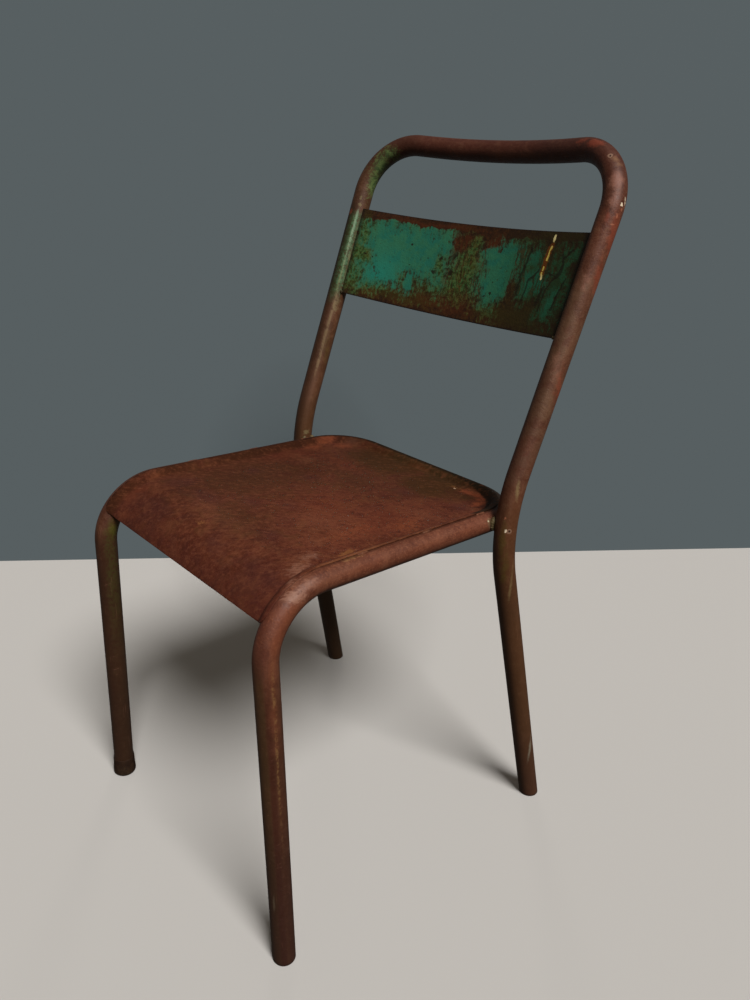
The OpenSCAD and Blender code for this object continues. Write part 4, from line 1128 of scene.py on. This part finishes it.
def slat_material():
    n = Net("slat_paint_worn_and_painted_shade")
    strip = n.attr("strip")
    sx, sh, side = n.sep(strip)
    flat = n.comb(sx, sh, n.math("MULTIPLY", side, 0.02))
    n2 = n.noise(flat, 60, 4, 0.6, 0.4)
    n3 = n.noise(n.vmath("ADD", flat, (2.3, 5.1, 0.7)), 200, 4, 0.65, 0.3)
    n4 = n.noise(flat, 520, 3, 0.6)
    n5 = n.noise(flat, 1500, 1, 0.5)
    spk = n.math("MULTIPLY_ADD", n4, 0.5, n.math("MULTIPLY", n3, 0.5))
    rag = n.math("MULTIPLY_ADD", n3, 0.5, n.math("MULTIPLY", n2, 0.5))
    flow = n.warp(flat, (60, 3), (200, 1.2))
    drip = n.noise(n.stretch(flow, (-0.12, 1.0, 0.0), 60, 330), 1.0, 4, 0.62)
    w = n.warp(flat, (40, 7), (130, 3.0), (430, 1.0))
    k = 1.38

    def at(x, h, rx, rh, gain=1.0, box=True):
        return n.near(w, (x, h, 0), (rx, rh, 1e6), gain, box)

    # Bare, rusted steel.
    c = n.mix(n.step(n2, 0.42, 0.58), tone(42, 28, 14, k), tone(52, 32, 17, k))
    c = n.mix(n.step(n3, 0.52, 0.66, 0, 0.4), c, tone(62, 40, 21, k))
    c = n.mix(n.step(n3, 0.47, 0.35, 0, 0.5), c, tone(32, 22, 12, k))
    red = n.most([at(-5, 88, 15, 9), at(42, 92, 12, 8), at(-130, 13, 12, 7), at(-20, 14, 90, 12, 0.75), at(86, 72, 7, 12, 0.9),
                  at(-9, 66, 4, 4), at(-60, 106, 100, 4, 0.7), at(20, 24, 24, 10, 0.7)])
    c = n.mix(n.cut(red, spk, 1.5, 0.26, 0.6), c, tone(72, 37, 21, k))
    olive = n.most([at(-90, 14, 70, 10, 0.8), at(90, 16, 50, 12, 0.8), at(-166, 60, 8, 60, 0.9), at(-25, 30, 50, 8, 0.9)])
    c = n.mix(n.cut(olive, spk, 1.7, 0.26, 0.6), c, tone(54, 48, 20, k))
    # Darker and more olive towards the right end: partly its own colour, partly painted shade.
    right = n.step(sx, 0.030, 0.130)
    c = n.mix(n.times(right, n.step(rag, 0.42, 0.56, 0.35, 0.85)), c, tone(40, 35, 19, k))
    # Paint: everything that still has some, then where it is sound.
    paint = n.most([
        at(-122, 68, 56, 45), at(-90, 72, 74, 38), at(-45, 68, 32, 36), at(-71, 34, 7, 14), at(-160, 60, 14, 50),
        at(-130, 26, 32, 15, 0.9), at(14, 62, 35, 38, 0.97), at(60, 60, 32, 42, 1, False), at(82, 82, 26, 20, 0.95, False), at(44, 84, 18, 14), at(104, 68, 24, 34, 1.0, False),
        at(112, 50, 26, 16, 0.95), at(150, 60, 22, 46, 0.80), at(143, 34, 14, 18, 0.95), at(-20, 36, 30, 12, 0.85)])
    paint = n.math("MULTIPLY_ADD", n.most([at(-8, 87, 10, 8), at(42, 93, 11, 7), at(88, 44, 6, 20, 0.8, False)]), -0.42, paint)
    wx, wh, wz = n.sep(w)
    top = n.step(wh, 0.1010, 0.1070)
    paint = n.math("MULTIPLY_ADD", top, -0.6, paint)
    sound = n.most([
        at(-94, 70, 62, 36), at(-124, 74, 32, 36, 0.95), at(-66, 74, 46, 28), at(-46, 66, 29, 32), at(-118, 40, 30, 19),
        at(-71, 34, 7, 16), at(-30, 74, 18, 28, 0.95), at(60, 70, 27, 30, 1, False), at(56, 46, 27, 21, 1, False), at(80, 84, 20, 13, 0.9, False), at(38, 84, 14, 14, 0.9, False),
        at(108, 84, 13, 13, 0.8), at(118, 54, 20, 12, 0.95), at(84, 56, 16, 22, 0.85), at(148, 34, 12, 18, 0.75)])
    sound = n.math("MULTIPLY_ADD", n.most([at(-32, 62, 9, 12), at(-152, 55, 9, 6)]), -0.42, sound)
    edge = n.math("MULTIPLY_ADD", drip, 0.35, n.math("MULTIPLY", rag, 0.65))
    P = n.cut(paint, edge, 2.0, 0.17)
    S = n.cut(sound, edge, 1.9, 0.24)
    teal = n.mix(n.step(n2, 0.42, 0.58), tone(36, 94, 78, k), tone(46, 98, 74, k))
    teal = n.mix(n.step(n3, 0.50, 0.62, 0, 0.35), teal, tone(40, 84, 60, k))
    teal = n.mix(n.near(w, (-118, 34, 0), (26, 22, 1e6), 0.9), teal, tone(36, 108, 92, k))
    thin = n.mix(n.step(n3, 0.42, 0.58), tone(42, 62, 32, k), tone(56, 86, 50, k))
    thin = n.mix(n.step(n2, 0.46, 0.60, 0, 0.6), thin, tone(66, 62, 28, k))
    thin = n.mix(n.step(spk, 0.50, 0.58, 0, 0.5), thin, tone(84, 90, 48, k))
    # The paint also darker towards the right end: painted shade.
    teal = n.mix(right, teal, tone(34, 76, 56, k))
    thin = n.mix(right, thin, n.mix(n.step(n2, 0.44, 0.56), tone(36, 52, 32, k), tone(36, 66, 44, k)))
    col = n.mix(S, thin, teal)
    c = n.mix(P, c, col)
    # Specks and short marks of rust, thick where the paint is thin.
    speck = n.step(n.math("MULTIPLY_ADD", n.math("SUBTRACT", 1.0, S), -0.050, spk), 0.408, 0.350)
    c = n.mix(n.times(speck, P, 0.75), c, tone(48, 40, 20, k))
    fly = n.math("MULTIPLY_ADD", n4, 0.22, n.voronoi(w, 105))
    c = n.mix(n.times(n.step(fly, 0.235, 0.175), n.step(n3, 0.46, 0.55), P, 0.8), c, tone(34, 36, 20, k))
    # Rust that has bled down through the paint, between and beside the fields.
    gaps = n.most([at(10, 60, 25, 40), at(-2, 50, 14, 20), at(92, 60, 12, 40, 0.9), at(128, 60, 14, 60, 0.9), at(28, 44, 14, 16)])
    streak = n.times(n.step(drip, 0.49, 0.55), n.step(gaps, 0.30, 0.55))
    bled = n.mix(n.step(n3, 0.44, 0.58), tone(42, 30, 15, k), tone(66, 44, 22, k))
    c = n.mix(n.times(streak, 0.8), c, n.mix(n.times(right, 0.7), bled, tone(40, 38, 20, k)))
    pits = n.most([at(-85, 76, 1.7, 1.6, 1, False), at(-77, 53, 1.2, 1.6, 0.8, False), at(-124, 61, 1.0, 0.9, 0.9, False),
                   at(-151, 56, 2.2, 1.2, 1, False), at(-140, 55, 1.4, 1.2, 0.9, False), at(-38, 51, 3.6, 1.8, 0.95, False),
                   at(-31, 66, 3.0, 3.4, 0.8, False), at(-28, 60, 2.4, 2.2, 0.8, False), at(57, 36, 2.0, 1.6, 1, False),
                   at(50, 31, 2.2, 1.4, 0.8, False), at(-12, 72, 3.0, 6.0, 0.8, False), at(-10, 54, 2.4, 5.0, 0.8, False)])
    c = n.mix(n.cut(pits, n4, 1.0, 0.10, 0.9), c, tone(32, 26, 14, k))
    # Dark runs across the right end.
    dk = []
    for a, b, wd in (((147, 88), (153, 78), 1.6), ((153, 78), (142, 60), 1.6), ((142, 60), (136, 46), 1.5), ((136, 46), (134, 30), 1.4),
                     ((118, 66), (108, 52), 1.4), ((108, 52), (104, 36), 1.3), ((146, 64), (132, 68), 1.0), ((132, 52), (128, 32), 2.0),
                     ((160, 92), (150, 84), 1.2), ((100, 92), (97, 44), 1.8), ((126, 96), (122, 66), 1.2), ((162, 62), (156, 30), 1.6)):
        dk.append(n.segment(w, a, b, wd)[0])
    c = n.mix(n.cut(n.most(dk), spk, 1.2, 0.12, 0.75), c, tone(30, 26, 14, k))
    # One broken run of yellow paint, with a rusty margin.
    wy = n.warp(flat, (160, 1.4), (600, 0.5))
    front = n.step(side, 0.4, 0.6)
    margin = n.most([n.segment(wy, (126, 96), (124.5, 78), 3.4)[0], n.segment(wy, (124.5, 78), (125, 66), 3.0)[0]])
    c = n.mix(n.times(n.cut(margin, spk, 1.4, 0.10, 0.8), front), c, tone(92, 50, 18, k))
    yel = n.most([n.segment(wy, (127.5, 107), (127, 101), 1.5)[0], n.segment(wy, (126.8, 95.5), (126, 81), 1.15)[0],
                  n.segment(wy, (124.8, 73), (124.8, 69), 1.0)[0], n.segment(wy, (124.5, 66), (126.0, 60), 1.1)[0]])
    ymask = n.times(n.cut(yel, n4, 0.7, 0.10), front)
    ycol = n.mix(n.most([n.near(wy, (127.5, 105, 0), (3, 5, 1e6)), n.near(wy, (126, 60, 0), (3, 3, 1e6))]),
                 tone(176, 154, 74, k), tone(204, 190, 140, k))
    c = n.mix(ymask, c, ycol)
    # Dark edges, and painted shade in the creases where the ends meet the uprights.
    c = n.mix(n.step(n.math("MULTIPLY_ADD", n4, 0.003, sh), 0.0036, 0.0022, 0, 0.65), c, tone(28, 18, 11, k))
    c = n.mix(n.step(n.math("MULTIPLY_ADD", n4, 0.003, sh), 0.1120, 0.1132, 0, 0.65), c, tone(28, 20, 12, k))
    ends = n.step(n.math("ABSOLUTE", sx), 0.1655, 0.1725, 0, 0.75)
    c = n.mix(ends, c, tone(30, 24, 14, k))
    c = n.scale(c, n.step(n5, 0.25, 0.75, 0.86, 1.16, "LINEAR"))
    rough = n.math("MULTIPLY_ADD", P, -0.14, n.step(n3, 0.3, 0.7, 0.54, 0.70, "LINEAR"))
    h = n.math("MULTIPLY_ADD", P, 0.16, n.math("MULTIPLY_ADD", n3, 0.5, n.math("MULTIPLY", n4, 0.35)))
    h = n.math("MULTIPLY_ADD", n2, 0.4, h)
    return finish(n, c, rough, h, bump=0.7, spec=0.26)


def weld_material(name, kind):
    n = Net(name)
    pal = dict(
        joint=dict(a=tone(66, 54, 36), b=tone(84, 72, 48), c=tone(96, 80, 54), d=tone(52, 34, 22),
                   light=tone(130, 120, 88), dark=tone(26, 18, 12)),
        slat=dict(a=tone(48, 50, 32), b=tone(60, 62, 40), c=tone(74, 54, 32), d=tone(50, 30, 18),
                  light=tone(98, 96, 64), dark=tone(24, 17, 11)),
        panel=dict(a=tone(82, 47, 33), b=tone(92, 54, 37), c=tone(104, 64, 42), d=tone(64, 35, 25),
                   light=tone(122, 82, 58), dark=tone(40, 24, 17)))[kind]
    r = Rust(n, pal)
    return finish(n, n.scale(r.c, r.grain), r.rough, r.h, spec=0.35)


def cap_material():
    n = Net("cap_worn")
    pal = dict(a=tone(44, 34, 28), b=tone(48, 36, 29), c=tone(56, 40, 28), d=tone(40, 27, 24),
               light=tone(72, 56, 42), dark=tone(28, 20, 15))
    r = Rust(n, pal)
    x, y, z = n.sep(n.obj)
    scuff = n.step(n.math("MULTIPLY_ADD", r.n2, 0.008, z), 0.0100, 0.0045)
    c = n.mix(n.times(scuff, 0.5), r.c, tone(62, 54, 46))
    lip = n.step(z, 0.0155, 0.0185)
    c = n.mix(n.times(lip, 0.4), c, tone(46, 32, 26))
    return finish(n, n.scale(c, r.grain), n.step(r.n3, 0.3, 0.7, 0.7, 0.85, "LINEAR"), r.h, spec=0.12)


def dress(ob, node, slot, mat):
    ob.data.materials.clear()
    ob.data.materials.append(mat)
    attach(ob, "root")
    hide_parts(node)


dress(back_tube, "back_frame_tube", "frame_paint", tube_material("back_tube_rust_and_painted_light", "back"))
dress(seat_tube, "seat_frame_tube", "frame_paint", tube_material("seat_tube_rust_and_painted_light", "seat"))
dress(seat_sheet, "seat_panel", "seat_paint", seat_material())
dress(slat_sheet, "back_slat", "slat_paint", slat_material())
weld_mats = {k: weld_material("weld_" + k, k) for k in ("joint", "slat", "panel")}
for node, ob in welds.items():
    dress(ob, node, "weld_metal", weld_mats[node.split("_")[0]])
dress(cap, "foot_cap", "cap_rubber", cap_material())

# ---------------------------------------------------------------------------
# Floor, wall, light and camera
# ---------------------------------------------------------------------------


def stage_sheet(name, verts, faces, colour, one_sided=False):
    me = bpy.data.meshes.new(name)
    me.from_pydata(verts, [], faces)
    me.update()
    ob = bpy.data.objects.new(name, me)
    bpy.context.scene.collection.objects.link(ob)
    n = Net(name + "_plain")
    n.p.inputs["Base Color"].default_value = (*colour, 1)
    n.p.inputs["Roughness"].default_value = 0.9
    n.p.inputs["Specular IOR Level"].default_value = 0.1
    if one_sided:
        # Seen and lit from the room only, so the chair shows from behind.
        back = n.t.nodes.new("ShaderNodeNewGeometry").outputs["Backfacing"]
        clear = n.t.nodes.new("ShaderNodeBsdfTransparent")
        both = n.t.nodes.new("ShaderNodeMixShader")
        n.t.links.new(back, both.inputs[0])
        n.t.links.new(n.p.outputs[0], both.inputs[1])
        n.t.links.new(clear.outputs[0], both.inputs[2])
        n.t.links.new(both.outputs[0], n.out.inputs[0])
    me.materials.append(n.mat)
    return ob


def disc(rings, seg=48):
    verts, faces = [(0, 0, 0)], []
    for j, r in enumerate(rings):
        for k in range(seg):
            a = 2 * math.pi * k / seg
            verts.append((r * math.cos(a), r * math.sin(a), 0))
            b = 1 + j * seg
            m = (k + 1) % seg
            faces.append((0, b + k, b + m) if j == 0 else (b - seg + k, b + k, b + m, b - seg + m))
    return verts, faces


ground = stage_sheet("floor", *disc((0.4, 0.8, 1.4, 2.4, 4, 8, 16, 40)), (0.555, 0.536, 0.512), True)
# The pale floor doesn't light the chair from below, which keeps its
# undersides dark, as a soft light over a darker room would.
ground.visible_diffuse = False
ground.visible_glossy = False
# A plain wall behind the chair, facing the camera.
W0, W1 = Vector((-0.888, -0.1425, 0)), Vector((0.076, 1.2106, 0))
way = (W1 - W0).normalized()
mid = (W0 + W1) / 2
wall = [mid - way * 7, mid + way * 7]
wall = [tuple(wall[0]), tuple(wall[1]), (wall[1].x, wall[1].y, 4.0), (wall[0].x, wall[0].y, 4.0)]
screen = stage_sheet("wall", wall, [(0, 1, 2, 3)], (0.136, 0.168, 0.182), True)
screen.visible_diffuse = False
screen.visible_shadow = False


def lamp(name, towards, energy, angle, colour, dist=3.0):
    li = bpy.data.lights.new(name, "SUN")
    li.energy = energy
    li.color = colour
    li.angle = angle
    d = Vector(towards).normalized()
    ob = bpy.data.objects.new(name, li)
    bpy.context.scene.collection.objects.link(ob)
    ob.location = Vector((0, 0, 0.4)) + d * dist
    ob.rotation_mode = "QUATERNION"
    ob.rotation_quaternion = (-d).to_track_quat("-Z", "Y")
    return ob


lamp("key", (0.73, -0.22, 1.0), 3.3, math.radians(23), (1.0, 0.985, 0.965))
# Low and from straight behind, for the views from the back and the left.
lamp("fill", (-0.73, 0.68, 0.05), 1.5, math.radians(14), (1.0, 0.95, 0.88)).visible_glossy = False
world = bpy.data.worlds.new("studio")
bpy.context.scene.world = world
world.use_nodes = True
bg = world.node_tree.nodes["Background"]
bg.inputs["Color"].default_value = (1.0, 0.89, 0.74, 1)
bg.inputs["Strength"].default_value = 0.085

cam = bpy.data.cameras.new("camera")
cam_ob = bpy.data.objects.new("camera", cam)
bpy.context.scene.collection.objects.link(cam_ob)
yaw, pitch, roll = 0.79915, -0.40562, 0.05312
fwd = Vector((-math.sin(yaw) * math.cos(pitch), math.cos(yaw) * math.cos(pitch), math.sin(pitch)))
right = fwd.cross(Vector((0, 0, 1))).normalized()
up = right.cross(fwd)
r2 = right * math.cos(roll) + up * math.sin(roll)
u2 = up * math.cos(roll) - right * math.sin(roll)
rot = Matrix((r2, u2, -fwd)).transposed().to_4x4()
cam_ob.matrix_world = Matrix.Translation(Vector((0.63351, -0.56445, 0.77455))) @ rot
cam.sensor_width = 36
cam.lens = 772.22 / 1000 * 36
cam.clip_start = 0.05
cam.clip_end = 200
cam.dof.use_dof = False
bpy.context.scene.camera = cam_ob
bpy.context.scene.view_settings.view_transform = "Standard"
bpy.context.scene.view_settings.look = "None"
